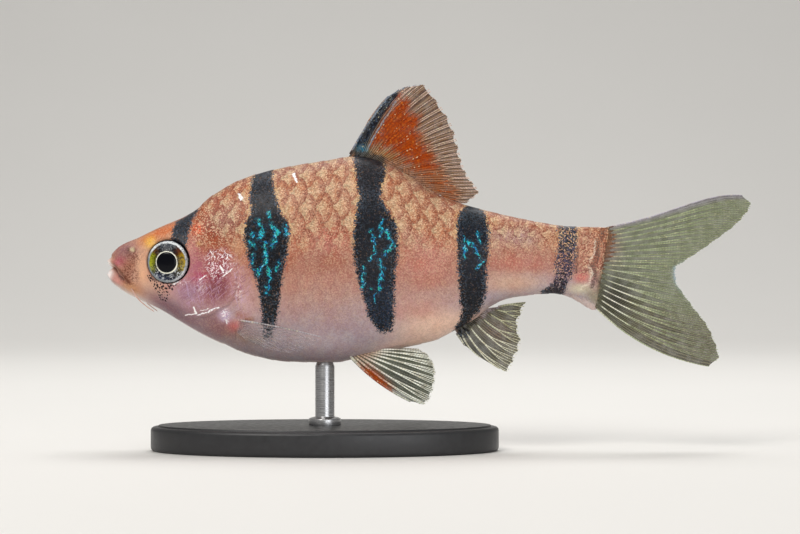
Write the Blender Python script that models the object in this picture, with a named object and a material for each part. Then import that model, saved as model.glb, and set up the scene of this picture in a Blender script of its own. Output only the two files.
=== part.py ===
"""Five-banded barb, 50 mm from snout to tail tip, swimming level, on a small display stand.

The fish faces -X, its left flank faces -Y and +Z is up. The origin is the centre of the
stand's underside. Outlines are in millimetres from the fish's own datum: x runs back from the
snout tip and z rises from the line through the snout and the middle of the tail.
"""

import math

import bmesh
import bpy
import numpy as np
from mathutils import Vector

MM = 0.001
GAP = 0.3  # between touching pieces

# The fish's datum in the stand's frame
SNOUT_X = -16.9
AXIS_Z = 14.2

# The trunk's outlines: (x, value)
BACK_LINE = [
    (0.0, 0.62), (0.3, 0.98), (1.0, 1.66), (2.55, 2.37), (4.4, 3.26), (5.95, 3.92), (7.1, 4.62),
    (7.75, 5.34), (8.75, 6.02), (10.3, 6.85), (12.6, 7.57), (17.2, 8.4), (19.4, 8.72), (21.2, 8.28),
    (23.4, 7.24), (25.2, 6.0), (26.4, 5.42), (29.1, 4.56), (33.6, 3.57), (35.8, 3.25), (38.7, 3.18),
]
BELLY_LINE = [
    (0.0, -0.66), (0.37, -1.13), (1.03, -1.66), (2.5, -2.48), (4.1, -3.22), (5.65, -4.15), (7.2, -5.06),
    (8.8, -5.84), (10.9, -6.75), (14.1, -7.36), (17.5, -7.42), (20.4, -6.84), (23.7, -6.14), (25.6, -5.65),
    (27.0, -4.92), (28.5, -4.08), (29.8, -3.05), (31.4, -2.4), (34.7, -2.08), (36.0, -2.26), (37.3, -2.7),
    (38.7, -3.35),
]
HALF_WIDTH = [
    (0.0, 0.95), (1.1, 1.3), (2.1, 1.65), (3.5, 2.12), (4.6, 2.38), (7.2, 2.82), (10.3, 3.12),
    (15.0, 3.42), (18.0, 3.4), (22.0, 3.08), (26.0, 2.55), (30.0, 1.86), (34.0, 1.22),
    (36.5, 0.84), (38.7, 0.48),
]
WIDEST_LEVEL = [(0.0, -0.05), (4.6, 0.3), (10.0, 0.5), (17.0, 0.1), (26.0, 0.3), (38.7, 0.1)]
# Powers of the section's rounding above and below its widest level: under 1 is boxier
BACK_ROUNDING = [(0.0, 0.85), (6.0, 0.9), (10.0, 1.08), (28.0, 1.05), (38.7, 0.7)]
BELLY_ROUNDING = [(0.0, 0.8), (6.0, 0.86), (14.0, 0.9), (28.0, 1.0), (38.7, 0.7)]
SNOUT_ROUND_DEPTH = 0.45  # length over which the snout's outline closes, from the side
SNOUT_ROUND_WIDTH = 1.5  # and from above
TAIL_END_X = 38.7  # end of the flesh at the back line
TAIL_END_LEAN = 0.17  # forward lean of that end for each millimetre down
LEAN_START_X = 34.0

# Gill opening and tail root, as x at each height z, from the top down
GILL_OPENING = [
    (6.7, 6.5), (4.8, 7.2), (3.55, 8.1), (1.9, 9.15), (0.75, 10.0), (-0.6, 10.32), (-1.9, 10.15),
    (-3.0, 9.6), (-3.9, 8.75), (-4.9, 8.1), (-7.0, 7.4),
]
GILL_COVER_RISE = 0.2
GILL_COVER_BAND = 1.6
PREOPERCLE_AHEAD = 2.6  # groove ahead of the gill opening
PREOPERCLE_DEPTH = 0.1
PREOPERCLE_WIDTH = 0.28
GILL_COVER_TOP, GILL_COVER_BOTTOM = 2.3, -4.4
GILL_COVER_FADE_TOP, GILL_COVER_FADE_BOTTOM = 0.9, 1.2  # heights over which its relief dies out
OPENING_POINTS = 25  # points of the cut along the gill opening
TAIL_ROOT_X = 31.2
CUT_REACH = 9.0  # how far the cutting prisms reach above, below and to each side
CUT_FRONT_X, CUT_REAR_X = -4.0, 45.0  # and ahead of the snout and behind the flesh

# Eye
EYE_X, EYE_Z = 4.97, 0.45
EYE_RADIUS = 1.66
EYE_HALF_THICKNESS = 0.8
EYE_CENTRE_Y = 2.0
EYE_YAW = 9.0  # degrees that it looks forward
EYE_SEGMENTS, EYE_RINGS = 24, 12

# Mouth: the cleft's upper and lower edges from its tip to its corner, as (x, z)
CLEFT_UPPER = [(-0.8, 0.56), (0.15, 0.4), (0.52, 0.0), (1.15, -0.78)]
CLEFT_LOWER = [(-0.8, -0.48), (0.15, -0.4), (0.5, -0.34), (1.08, -0.9)]
LIP_RADIUS = 0.24
LIP_INSET = 0.1  # how far the lip's centre lies inside the skin
LIP_SET_BACK = 0.2  # from the cleft's tip to the lip's centre
LIP_STATIONS = 13
LIP_LIFT = 0.6  # how far the lip's centre stands off the cleft's edge, as a share of its radius
LIP_CORNER_TAPER = 0.45  # share of the radius lost at the corners
CLEFT_REACH = 4.0  # how far the cleft's cut runs to each side
NOSTRILS = [(1.88, 1.37, 0.15), (2.25, 1.29, 0.21)]  # x, z, radius
NOSTRIL_DEPTH = 1.6  # as a share of its radius
NOSTRIL_SEGMENTS, NOSTRIL_RINGS = 10, 6
MAXILLA = [(0.75, 0.5), (1.2, -0.1), (1.7, -0.9), (1.95, -1.4)]  # the bone behind the upper lip
MAXILLA_RADIUS = 0.24
MAXILLA_INSET = 0.15
MAXILLA_TAPER = (0.6, 0.85, 1.0, 1.0, 1.0, 0.95, 0.75)  # shares of its radius from end to end

# Barbel from the corner of the jaw: (x, distance from the midplane, z)
BARBEL_PATH = [(1.75, 0.6, -1.25), (2.1, 1.2, -1.75), (2.6, 1.35, -2.45), (3.15, 1.3, -2.95), (3.8, 1.1, -3.42)]
BARBEL_ROOT_RADIUS = 0.27
BARBEL_TIP_RADIUS = 0.1
BARBEL_STATIONS = 9
TUBE_SIDES = 8  # of lips, maxilla and barbels

# Fins: membrane and ray thickness
MEMBRANE_HALF = 0.23
RAY_RISE = 0.1
ROOT_SWELL = 0.08
ROOT_SWELL_END = 0.3  # share of the fin's length where the swell has died out
TIP_TAPER = 0.55
TIP_TAPER_START = 0.45  # share of the length where the blade starts to thin
EDGE_NOTCH = 0.1  # how far the edge draws in between rays, as a share of the last row
RAY_FLANK = 0.3  # width of a ray's side, as a share of the step to its neighbour

DORSAL_RAYS = 12
DORSAL_ROOTS = {0: 19.0, 2: 19.7, 11: 25.3}  # x on the back line
DORSAL_TIPS = {
    0: (20.2, 11.2), 1: (21.8, 13.3), 2: (23.3, 14.06), 3: (24.45, 14.25), 5: (26.0, 12.6),
    7: (27.1, 10.2), 9: (27.6, 7.95), 10: (28.1, 6.85), 11: (28.85, 5.95),
}
DORSAL_SAG = {0: 0.0, 2: 0.55, 4: 0.3, 11: -0.1}
DORSAL_ROWS = 7

ANAL_RAYS = 9
ANAL_ROOTS = {0: 27.05, 2: 27.65, 8: 30.4}
ANAL_TIPS = {
    0: (27.75, -6.05), 1: (29.0, -7.0), 2: (31.0, -8.07), 3: (31.5, -7.3), 5: (32.1, -5.6),
    6: (31.85, -4.6), 8: (32.4, -2.85),
}
ANAL_SAG = {0: 0.0, 2: -0.35, 8: 0.05}
ANAL_ROWS = 6

TAIL_RAYS = 19
UPPER_LOBE_RAYS = 10
TAIL_TIPS = {
    0: (49.3, 5.6), 1: (49.98, 4.97), 3: (49.2, 3.72), 6: (46.6, 1.68), 8: (44.75, 0.42),
    9: (44.15, -0.05), 10: (44.15, -0.85), 12: (45.3, -2.75), 15: (46.9, -5.05), 17: (47.5, -6.95),
    18: (46.7, -7.67),
}
TAIL_SAG = {0: 0.12, 9: 0.0, 13: -0.3, 18: -0.8}
TAIL_ROWS = 9
LOBE_SPLIT_Z = 0.05
LOBE_GAP = 0.4
TAIL_FIN_INSET_TOP, TAIL_FIN_INSET_BOTTOM = 0.05, 0.25  # from the flesh's upper and lower corners

PELVIC_RAYS = 9
PELVIC_ROOTS = {0: (18.85, -6.8), 8: (20.6, -6.4)}
PELVIC_TIPS = {
    0: (23.5, -10.2), 1: (24.5, -10.42), 3: (25.25, -9.35), 5: (25.45, -8.0), 7: (24.9, -6.85),
    8: (24.2, -6.42),
}
PELVIC_SAG = {0: -0.3, 4: 0.0, 8: 0.1}
PELVIC_ROOT_Y = {0: 0.85, 8: 0.6}
PELVIC_TIP_Y = {0: 3.3, 4: 2.8, 8: 2.1}
PELVIC_BOW = 1.0  # power by which a ray leaves the flank: under 1 leaves it at once
PAIRED_ROWS = 6

PECTORAL_RAYS = 10
PECTORAL_ROOTS = {0: (9.85, -3.95), 9: (10.05, -4.75)}
PECTORAL_TIPS = {
    0: (16.75, -5.27), 1: (16.55, -5.6), 3: (15.6, -6.15), 5: (14.4, -6.45), 7: (13.1, -6.3), 9: (11.9, -5.8),
}
PECTORAL_SAG = {0: 0.12, 9: -0.15}
PECTORAL_ROOT_Y = {0: 1.9, 9: 1.5}
PECTORAL_TIP_Y = {0: 4.3, 5: 4.0, 9: 3.4}
PECTORAL_BOW = 0.6

# Display stand
BASE_LENGTH, BASE_WIDTH, BASE_HEIGHT = 27.0, 14.0, 2.0
BASE_BEVEL = 0.35
BASE_SIDES = 48
ROD_RADIUS = 0.75
ROD_SIDES = 20
ROD_TOP_Z = -6.5  # above the belly, whose curve then trims it

SHARP_EDGE = 40.0  # degrees between faces that are shaded as an edge

# Body mesh
RING_SIDES = 40
NOSE_RINGS = 9
HEAD_STEP, TRUNK_STEP = 0.45, 1.0
HEAD_END_X = 10.9
SLOPE_STEP = 0.05  # half the run over which an outline's slope is read


def smooth_line(points):
    """A monotone cubic through (position, value) pairs, as a function."""
    at, value = np.array(sorted(points), float).T
    step = np.diff(at)
    slope = np.diff(value) / step
    tangent = np.zeros(len(at))
    tangent[0], tangent[-1] = slope[0], slope[-1]
    for k in range(1, len(at) - 1):
        if slope[k - 1] * slope[k] > 0:
            before, after = 2 * step[k] + step[k - 1], step[k] + 2 * step[k - 1]
            tangent[k] = (before + after) / (before / slope[k - 1] + after / slope[k])

    def curve(x):
        x = np.clip(np.asarray(x, float), at[0], at[-1])
        k = np.clip(np.searchsorted(at, x) - 1, 0, len(step) - 1)
        t = (x - at[k]) / step[k]
        return (
            (1 + 2 * t) * (1 - t) ** 2 * value[k]
            + t * (1 - t) ** 2 * step[k] * tangent[k]
            + t**2 * (3 - 2 * t) * value[k + 1]
            + t**2 * (t - 1) * step[k] * tangent[k + 1]
        )

    return curve


back_line = smooth_line(BACK_LINE)
belly_line = smooth_line(BELLY_LINE)
half_width = smooth_line(HALF_WIDTH)
widest_level = smooth_line(WIDEST_LEVEL)
back_rounding = smooth_line(BACK_ROUNDING)
belly_rounding = smooth_line(BELLY_ROUNDING)
gill_opening = smooth_line(GILL_OPENING)


def ramp(t):
    """Rises smoothly from 0 to 1 as t does."""
    t = np.clip(t, 0.0, 1.0)
    return t * t * (3 - 2 * t)


def snout_round(x, length):
    """A quarter ellipse that closes the snout over the given length."""
    t = np.clip((x - BACK_LINE[0][0]) / length, 0.0, 1.0)
    return np.sqrt(1 - (1 - t) ** 2)


def section(x):
    """Half width, widest level and the reach above and below it at x."""
    closing = snout_round(x, SNOUT_ROUND_DEPTH)
    level = widest_level(x)
    up = (back_line(x) - level) * closing
    down = (level - belly_line(x)) * closing
    return half_width(x) * snout_round(x, SNOUT_ROUND_WIDTH), level, up, down


def surface_y(x, z):
    """The body's half width at a point of the side view."""
    width, level, up, down = section(x)
    above = z >= level
    share = min(1.0, abs(z - level) / (up if above else down))
    power = back_rounding(x) if above else belly_rounding(x)
    return float(width * math.sqrt(1 - share**2) ** power)


def gill_cover_relief(x, z):
    """Height of the gill cover's swell and of the groove ahead of it."""
    ahead = gill_opening(z) - x
    window = ramp((GILL_COVER_TOP - z) / GILL_COVER_FADE_TOP)
    window *= ramp((z - GILL_COVER_BOTTOM) / GILL_COVER_FADE_BOTTOM)
    swell = GILL_COVER_RISE * ramp(1 - ahead / GILL_COVER_BAND)
    groove = PREOPERCLE_DEPTH * np.exp(-(((ahead - PREOPERCLE_AHEAD) / PREOPERCLE_WIDTH) ** 2))
    return (swell - groove) * window


def body_ring(x, gill_cover):
    """One ring of the body, from the back down its right side and up its left."""
    width, level, up, down = section(x)
    angle = np.arange(RING_SIDES) * 2 * math.pi / RING_SIDES
    rise, side = np.cos(angle), np.sin(angle)
    z = level + np.where(rise >= 0, up, down) * rise
    power = np.where(rise >= 0, back_rounding(x), belly_rounding(x))
    y = np.sign(side) * width * np.abs(side) ** power
    lean = TAIL_END_LEAN * ramp((x - LEAN_START_X) / (TAIL_END_X - LEAN_START_X))
    xs = x - lean * (back_line(x) - z)
    if gill_cover:
        y += side * gill_cover_relief(xs, z)
    return np.stack([xs, y, z], axis=1)


def stations():
    """The x of every ring, closest at the snout."""
    start = BACK_LINE[0][0]
    nose = start + SNOUT_ROUND_WIDTH * (1 - np.cos(np.linspace(0, math.pi / 2, NOSE_RINGS)[1:-1]))
    head = np.arange(start + SNOUT_ROUND_WIDTH, HEAD_END_X, HEAD_STEP)
    trunk = np.arange(HEAD_END_X, TAIL_END_X - TRUNK_STEP / 2, TRUNK_STEP)
    return np.concatenate([nose, head, trunk, [TAIL_END_X]])


def to_world(points):
    """Fish millimetres to metres in the stand's frame."""
    return (np.asarray(points, float) + (SNOUT_X, 0, AXIS_Z)) * MM


def new_object(name, points, faces):
    """A mesh object from points in fish millimetres, with its faces turned outwards."""
    mesh = bpy.data.meshes.new(name)
    mesh.from_pydata([tuple(p) for p in to_world(points)], [], faces)
    shape = bmesh.new()
    shape.from_mesh(mesh)
    bmesh.ops.recalc_face_normals(shape, faces=shape.faces)
    shape.to_mesh(mesh)
    shape.free()
    obj = bpy.data.objects.new(name, mesh)
    bpy.context.scene.collection.objects.link(obj)
    return obj


def lofted(name, rings):
    """A closed solid through rings of equal count, with a flat cap at each end."""
    sides = len(rings[0])
    faces = [tuple(range(sides)), tuple(range((len(rings) - 1) * sides, len(rings) * sides))]
    for r in range(len(rings) - 1):
        for s in range(sides):
            n = (s + 1) % sides
            low, high = r * sides, (r + 1) * sides
            faces.append((low + s, low + n, high + n, high + s))
    return new_object(name, np.concatenate(rings), faces)


def body_solid(name, grow=0.0, gill_cover=False):
    """The whole body from snout to tail root, moved out along its normals by grow."""
    body = lofted(name, [body_ring(x, gill_cover) for x in stations()])
    if grow:
        normals = [v.normal.copy() for v in body.data.vertices]
        for vertex, normal in zip(body.data.vertices, normals):
            vertex.co += normal * grow * MM
    return body


def prism(name, outline, low_y, high_y):
    """A side-view outline carried straight through from low_y to high_y."""
    near = [(x, low_y, z) for x, z in outline]
    far = [(x, high_y, z) for x, z in outline]
    return lofted(name, [np.array(near), np.array(far)])


def ball(name, centre, radii, segments, rings, yaw=0.0):
    """An ellipsoid in fish millimetres, its poles along Y, then turned about Z by yaw degrees."""
    bpy.ops.mesh.primitive_uv_sphere_add(segments=segments, ring_count=rings, radius=1.0)
    obj = bpy.context.object
    obj.name = name
    cosine, sine = math.cos(math.radians(yaw)), math.sin(math.radians(yaw))
    for vertex in obj.data.vertices:
        x, z, y = vertex.co.x * radii[0], -vertex.co.y * radii[2], vertex.co.z * radii[1]
        turned = (x * cosine - y * sine, x * sine + y * cosine, z)
        vertex.co = Vector(to_world(np.array(centre) + turned))
    return obj


def tube(name, path, radii):
    """A round tube along a path in fish millimetres."""
    path = np.asarray(path, float)
    rings = []
    for k, centre in enumerate(path):
        along = Vector(path[min(k + 1, len(path) - 1)] - path[max(k - 1, 0)]).normalized()
        across = along.cross(Vector((0, 0, 1))).normalized()
        up = across.cross(along)
        rings.append([
            centre + radii[k] * (math.cos(a) * np.array(across) + math.sin(a) * np.array(up))
            for a in (2 * math.pi * s / TUBE_SIDES for s in range(TUBE_SIDES))
        ])
    return lofted(name, [np.array(r) for r in rings])


def boolean(obj, operation, others):
    """Applies one Boolean of obj with a list of solids, which are then removed."""
    group = bpy.data.collections.new("operands")
    bpy.context.scene.collection.children.link(group)
    for other in others:
        group.objects.link(other)
    modifier = obj.modifiers.new(operation, "BOOLEAN")
    modifier.operation = operation
    modifier.solver = "EXACT"
    modifier.operand_type = "COLLECTION"
    modifier.collection = group
    bpy.context.view_layer.objects.active = obj
    bpy.ops.object.modifier_apply(modifier=modifier.name)
    for other in others:
        bpy.data.objects.remove(other)
    bpy.data.collections.remove(group)
    keep_largest(obj)


def keep_largest(obj):
    """Drops every closed surface of obj but the largest."""
    shape = bmesh.new()
    shape.from_mesh(obj.data)
    left, groups = set(shape.verts), []
    while left:
        stack, group = [left.pop()], set()
        while stack:
            vertex = stack.pop()
            group.add(vertex)
            for edge in vertex.link_edges:
                other = edge.other_vert(vertex)
                if other in left:
                    left.remove(other)
                    stack.append(other)
        groups.append(group)
    groups.sort(key=len)
    for group in groups[:-1]:
        bmesh.ops.delete(shape, geom=list(group), context="VERTS")
    shape.to_mesh(obj.data)
    shape.free()


def copy_of(obj, name):
    twin = obj.copy()
    twin.data = obj.data.copy()
    twin.name = name
    bpy.context.scene.collection.objects.link(twin)
    return twin


def finish(obj, material):
    """Gives a piece its material and its shading."""
    obj.data.materials.clear()
    obj.data.materials.append(material)
    obj.data.shade_smooth()
    obj.data.set_sharp_from_angle(angle=math.radians(SHARP_EDGE))


def new_material(name, colour, roughness, metallic=0.0):
    material = bpy.data.materials.new(name)
    material.use_nodes = True
    shader = material.node_tree.nodes["Principled BSDF"]
    shader.inputs["Base Color"].default_value = (*colour, 1.0)
    shader.inputs["Roughness"].default_value = roughness
    shader.inputs["Metallic"].default_value = metallic
    return material


def skin_path(line_points, inset, count):
    """Points along a line of the side view, each inset from the right side's skin."""
    line = smooth_line(line_points)
    xs = np.linspace(line_points[0][0], line_points[-1][0], count)
    return [(x, surface_y(x, float(line(x))) - inset, float(line(x))) for x in xs]


def lip(name, edge, up):
    """A lip round one edge of the mouth, from corner to corner."""
    right = skin_path(edge, LIP_INSET, LIP_STATIONS // 2)
    left = [(x, -y, z) for x, y, z in reversed(right)]
    tip = (edge[0][0] + LIP_SET_BACK, 0.0, edge[0][1])
    path = [(x, y, z + up * LIP_LIFT * LIP_RADIUS) for x, y, z in left + [tip] + right]
    middle = len(path) // 2
    radii = [LIP_RADIUS * (1 - LIP_CORNER_TAPER * (abs(k - middle) / middle) ** 2) for k in range(len(path))]
    return tube(name, path, radii)


def maxilla(name, side):
    """The bone that slopes down behind the upper lip, as a low swell in the skin."""
    path = [(x, side * y, z) for x, y, z in skin_path(MAXILLA, MAXILLA_INSET, len(MAXILLA_TAPER))]
    return tube(name, path, [MAXILLA_RADIUS * share for share in MAXILLA_TAPER])


def eye_ball(name, side, extra=0.0):
    """The eyeball, or with extra its socket."""
    radii = (EYE_RADIUS + extra, EYE_HALF_THICKNESS + extra, EYE_RADIUS + extra)
    return ball(name, (EYE_X, side * EYE_CENTRE_Y, EYE_Z), radii, EYE_SEGMENTS, EYE_RINGS, side * EYE_YAW)


def opening_edge(shift):
    """The gill opening's line from the top down, moved back by shift."""
    heights = np.linspace(CUT_REACH, -CUT_REACH, OPENING_POINTS)
    return [(float(gill_opening(z)) + shift, z) for z in heights]


def head_piece(body):
    """Everything ahead of the gill opening, with its mouth, nostrils and eye sockets."""
    head = copy_of(body, "head")
    outline = [(CUT_FRONT_X, CUT_REACH), *opening_edge(-GAP / 2), (CUT_FRONT_X, -CUT_REACH)]
    boolean(head, "INTERSECT", [prism("ahead", outline, -CUT_REACH, CUT_REACH)])
    cleft = CLEFT_UPPER + CLEFT_LOWER[::-1]
    cutters = [prism("cleft", cleft, -CLEFT_REACH, CLEFT_REACH)]
    for side in (-1, 1):
        cutters.append(eye_ball("socket", side, GAP))
        for x, z, radius in NOSTRILS:
            pit = (x, side * surface_y(x, z), z)
            radii = (radius, NOSTRIL_DEPTH * radius, radius)
            cutters.append(ball("nostril", pit, radii, NOSTRIL_SEGMENTS, NOSTRIL_RINGS))
    boolean(head, "DIFFERENCE", cutters)
    added = [lip("upper_lip", CLEFT_UPPER[1:], 1), lip("lower_lip", CLEFT_LOWER[1:], -1)]
    added += [maxilla("maxilla", side) for side in (-1, 1)]
    boolean(head, "UNION", added)
    return head


def torso_piece(body):
    """From the gill opening to the tail root."""
    torso = copy_of(body, "torso")
    rear_x = TAIL_ROOT_X - GAP / 2
    outline = [*opening_edge(GAP / 2), (rear_x, -CUT_REACH), (rear_x, CUT_REACH)]
    boolean(torso, "INTERSECT", [prism("between", outline, -CUT_REACH, CUT_REACH)])
    return torso


def tail_piece(body):
    """The tail root that carries the tail fin."""
    tail = copy_of(body, "tail")
    front_x = TAIL_ROOT_X + GAP / 2
    outline = [(front_x, CUT_REACH), (front_x, -CUT_REACH), (CUT_REAR_X, -CUT_REACH), (CUT_REAR_X, CUT_REACH)]
    boolean(tail, "INTERSECT", [prism("behind", outline, -CUT_REACH, CUT_REACH)])
    return tail


def along_rays(keys, count):
    """A value or a point for every ray, read smoothly between the named ones."""
    index = np.arange(count)
    values = np.array(list(keys.values()), float)
    if values.ndim == 1:
        return smooth_line(list(zip(keys, values)))(index)
    return np.stack([smooth_line(list(zip(keys, column)))(index) for column in values.T], axis=1)


def ray_grid(roots, tips, sags, rows):
    """Points along every ray in the side view: a straight run with a bow of height sag."""
    share = np.linspace(0.0, 1.0, rows)
    grid = np.empty((len(roots), rows, 2))
    for k, (root, tip, sag) in enumerate(zip(roots, tips, sags)):
        run = tip - root
        across = np.array([-run[1], run[0]]) / np.hypot(*run)
        grid[k] = root + share[:, None] * run + (4 * sag * share * (1 - share))[:, None] * across
    return grid


def fin_solid(name, grid, middle):
    """A fin with a raised ridge along every ray. middle gives the blade's distance from the
    midplane at each ray and row. Both faces share one set of triangles."""
    rays, rows = grid.shape[:2]
    columns, rises, offsets = [], [], []
    for k in range(rays):
        for step in (-1, 0, 1):
            other = k + step
            if not 0 <= other < rays:
                continue
            share = RAY_FLANK if step else 0.0
            line = grid[k] + share * (grid[other] - grid[k])
            if step:
                line[-1] += EDGE_NOTCH * (line[-2] - line[-1])
            columns.append(line)
            rises.append(0.0 if step else RAY_RISE)
            offsets.append(middle[k] + share * (middle[other] - middle[k]))
    share = np.linspace(0.0, 1.0, rows)
    taper = 1 - (1 - TIP_TAPER) * ramp((share - TIP_TAPER_START) / (1 - TIP_TAPER_START))
    swell = ROOT_SWELL * ramp(1 - share / ROOT_SWELL_END)
    near, far = [], []
    for line, rise, offset in zip(columns, rises, offsets):
        half = (MEMBRANE_HALF + rise) * taper + swell
        near.append(np.stack([line[:, 0], offset - half, line[:, 1]], axis=1))
        far.append(np.stack([line[:, 0], offset + half, line[:, 1]], axis=1))
    count = len(columns)
    points = np.concatenate([np.concatenate(near), np.concatenate(far)])
    back = count * rows

    def at(column, row):
        return column * rows + row

    faces = []
    for c in range(count - 1):
        for r in range(rows - 1):
            a, b, d, e = at(c, r), at(c + 1, r), at(c + 1, r + 1), at(c, r + 1)
            for triangle in ((a, b, d), (a, d, e)):
                faces.append(triangle)
                faces.append(tuple(back + i for i in reversed(triangle)))
    rim = [at(c, 0) for c in range(count)] + [at(count - 1, r) for r in range(1, rows)]
    rim += [at(c, rows - 1) for c in range(count - 2, -1, -1)]
    rim += [at(0, r) for r in range(rows - 2, 0, -1)]
    for a, b in zip(rim, rim[1:] + rim[:1]):
        faces.append((b, a, back + a))
        faces.append((b, back + a, back + b))
    return new_object(name, points, faces)


def outline_root(line, x, side):
    """A point GAP off the back line or the belly line, square to it."""
    slope = float(line(x + SLOPE_STEP) - line(x - SLOPE_STEP)) / (2 * SLOPE_STEP)
    length = math.hypot(1.0, slope)
    return np.array([x - side * GAP * slope / length, float(line(x)) + side * GAP / length])


def median_fin(name, line, side, rays, roots, tips, sags, rows):
    """A fin on the midplane that grows from the back or the belly line."""
    root = np.array([outline_root(line, x, side) for x in along_rays(roots, rays)])
    grid = ray_grid(root, along_rays(tips, rays), along_rays(sags, rays), rows)
    return fin_solid(name, grid, np.zeros(grid.shape[:2]))


def tail_end_x(z):
    """The flesh's rear end at height z."""
    return TAIL_END_X - TAIL_END_LEAN * (BACK_LINE[-1][1] - z)


def tail_lobes():
    """The tail fin's two lobes, parted at the fork."""
    lower_rays = TAIL_RAYS - UPPER_LOBE_RAYS
    top, bottom = BACK_LINE[-1][1] - TAIL_FIN_INSET_TOP, BELLY_LINE[-1][1] + TAIL_FIN_INSET_BOTTOM
    upper_z = np.linspace(top, LOBE_SPLIT_Z + LOBE_GAP / 2, UPPER_LOBE_RAYS)
    lower_z = np.linspace(LOBE_SPLIT_Z - LOBE_GAP / 2, bottom, lower_rays)
    root_z = np.concatenate([upper_z, lower_z])
    roots = np.array([(tail_end_x(z) + GAP, z) for z in root_z])
    grid = ray_grid(roots, along_rays(TAIL_TIPS, TAIL_RAYS), along_rays(TAIL_SAG, TAIL_RAYS), TAIL_ROWS)
    upper, lower = grid[:UPPER_LOBE_RAYS], grid[UPPER_LOBE_RAYS:]
    return [
        fin_solid("tail_fin_upper_lobe", upper, np.zeros(upper.shape[:2])),
        fin_solid("tail_fin_lower_lobe", lower, np.zeros(lower.shape[:2])),
    ]


def paired_fin(name, side, rays, roots, tips, sags, root_y, tip_y, bow, cutter):
    """A fin of one flank, its root trimmed to stand GAP off the skin."""
    grid = ray_grid(along_rays(roots, rays), along_rays(tips, rays), along_rays(sags, rays), PAIRED_ROWS)
    share = np.linspace(0.0, 1.0, PAIRED_ROWS) ** bow
    start, end = along_rays(root_y, rays)[:, None], along_rays(tip_y, rays)[:, None]
    middle = side * (start + (end - start) * share)
    fin = fin_solid(name, grid, middle)
    boolean(fin, "DIFFERENCE", [copy_of(cutter, "skin_gap")])
    return fin


def barbel(name, side, cutter):
    """A tapering feeler from the corner of the jaw."""
    keys = dict(enumerate((x, side * y, z) for x, y, z in BARBEL_PATH))
    steps = np.linspace(0, len(BARBEL_PATH) - 1, BARBEL_STATIONS)
    columns = np.array(list(keys.values())).T
    path = np.stack([smooth_line(list(zip(keys, column)))(steps) for column in columns], axis=1)
    radii = np.linspace(BARBEL_ROOT_RADIUS, BARBEL_TIP_RADIUS, len(path))
    feeler = tube(name, path, radii)
    boolean(feeler, "DIFFERENCE", [copy_of(cutter, "skin_gap")])
    return feeler


def stand_base():
    """A flat oval plinth with a bevelled rim."""
    bpy.ops.mesh.primitive_cylinder_add(
        vertices=BASE_SIDES, radius=0.5, depth=1.0, location=(0, 0, BASE_HEIGHT * MM / 2)
    )
    base = bpy.context.object
    base.name = "stand_base"
    base.scale = (BASE_LENGTH * MM, BASE_WIDTH * MM, BASE_HEIGHT * MM)
    bpy.ops.object.transform_apply(location=False, rotation=False, scale=True)
    rim = base.modifiers.new("Rim", "BEVEL")
    rim.width = BASE_BEVEL * MM
    rim.segments = 2
    rim.limit_method = "ANGLE"
    rim.angle_limit = math.radians(50)
    return base


def stand_rod(cutter):
    """A round rod from the plinth to the belly, hollowed at its top to the belly's curve."""
    bottom, top = (BASE_HEIGHT + GAP) * MM, (AXIS_Z + ROD_TOP_Z) * MM
    bpy.ops.mesh.primitive_cylinder_add(
        vertices=ROD_SIDES, radius=ROD_RADIUS * MM, depth=top - bottom,
        location=(0, 0, (top + bottom) / 2),
    )
    rod = bpy.context.object
    rod.name = "stand_rod"
    bpy.ops.object.transform_apply(location=True, rotation=False, scale=False)
    boolean(rod, "DIFFERENCE", [copy_of(cutter, "skin_gap")])
    return rod


def main():
    for obj in list(bpy.data.objects):
        bpy.data.objects.remove(obj)
    skin = new_material("skin", (0.76, 0.52, 0.41), 0.35)
    fin = new_material("fin", (0.62, 0.6, 0.5), 0.4)
    iris = new_material("eye", (0.05, 0.06, 0.07), 0.08)
    plinth = new_material("plinth", (0.05, 0.05, 0.055), 0.4)
    steel = new_material("rod", (0.6, 0.6, 0.6), 0.3, 1.0)

    body = body_solid("whole_body")
    cutter = body_solid("grown_body", GAP)
    head_body = body_solid("head_body", gill_cover=True)
    for piece in (head_piece(head_body), torso_piece(body), tail_piece(body)):
        finish(piece, skin)
    finish(median_fin("dorsal_fin", back_line, 1, DORSAL_RAYS, DORSAL_ROOTS, DORSAL_TIPS,
                      DORSAL_SAG, DORSAL_ROWS), fin)
    finish(median_fin("anal_fin", belly_line, -1, ANAL_RAYS, ANAL_ROOTS, ANAL_TIPS,
                      ANAL_SAG, ANAL_ROWS), fin)
    for lobe in tail_lobes():
        finish(lobe, fin)
    for word, side in (("left", -1), ("right", 1)):
        finish(eye_ball(f"eye_{word}", side), iris)
        finish(barbel(f"barbel_{word}", side, cutter), skin)
        finish(paired_fin(f"pectoral_fin_{word}", side, PECTORAL_RAYS, PECTORAL_ROOTS, PECTORAL_TIPS,
                          PECTORAL_SAG, PECTORAL_ROOT_Y, PECTORAL_TIP_Y, PECTORAL_BOW, cutter), fin)
        finish(paired_fin(f"pelvic_fin_{word}", side, PELVIC_RAYS, PELVIC_ROOTS, PELVIC_TIPS,
                          PELVIC_SAG, PELVIC_ROOT_Y, PELVIC_TIP_Y, PELVIC_BOW, cutter), fin)
    finish(stand_base(), plinth)
    finish(stand_rod(cutter), steel)
    for helper in (body, cutter, head_body):
        bpy.data.objects.remove(helper)


main()
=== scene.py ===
import math

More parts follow.
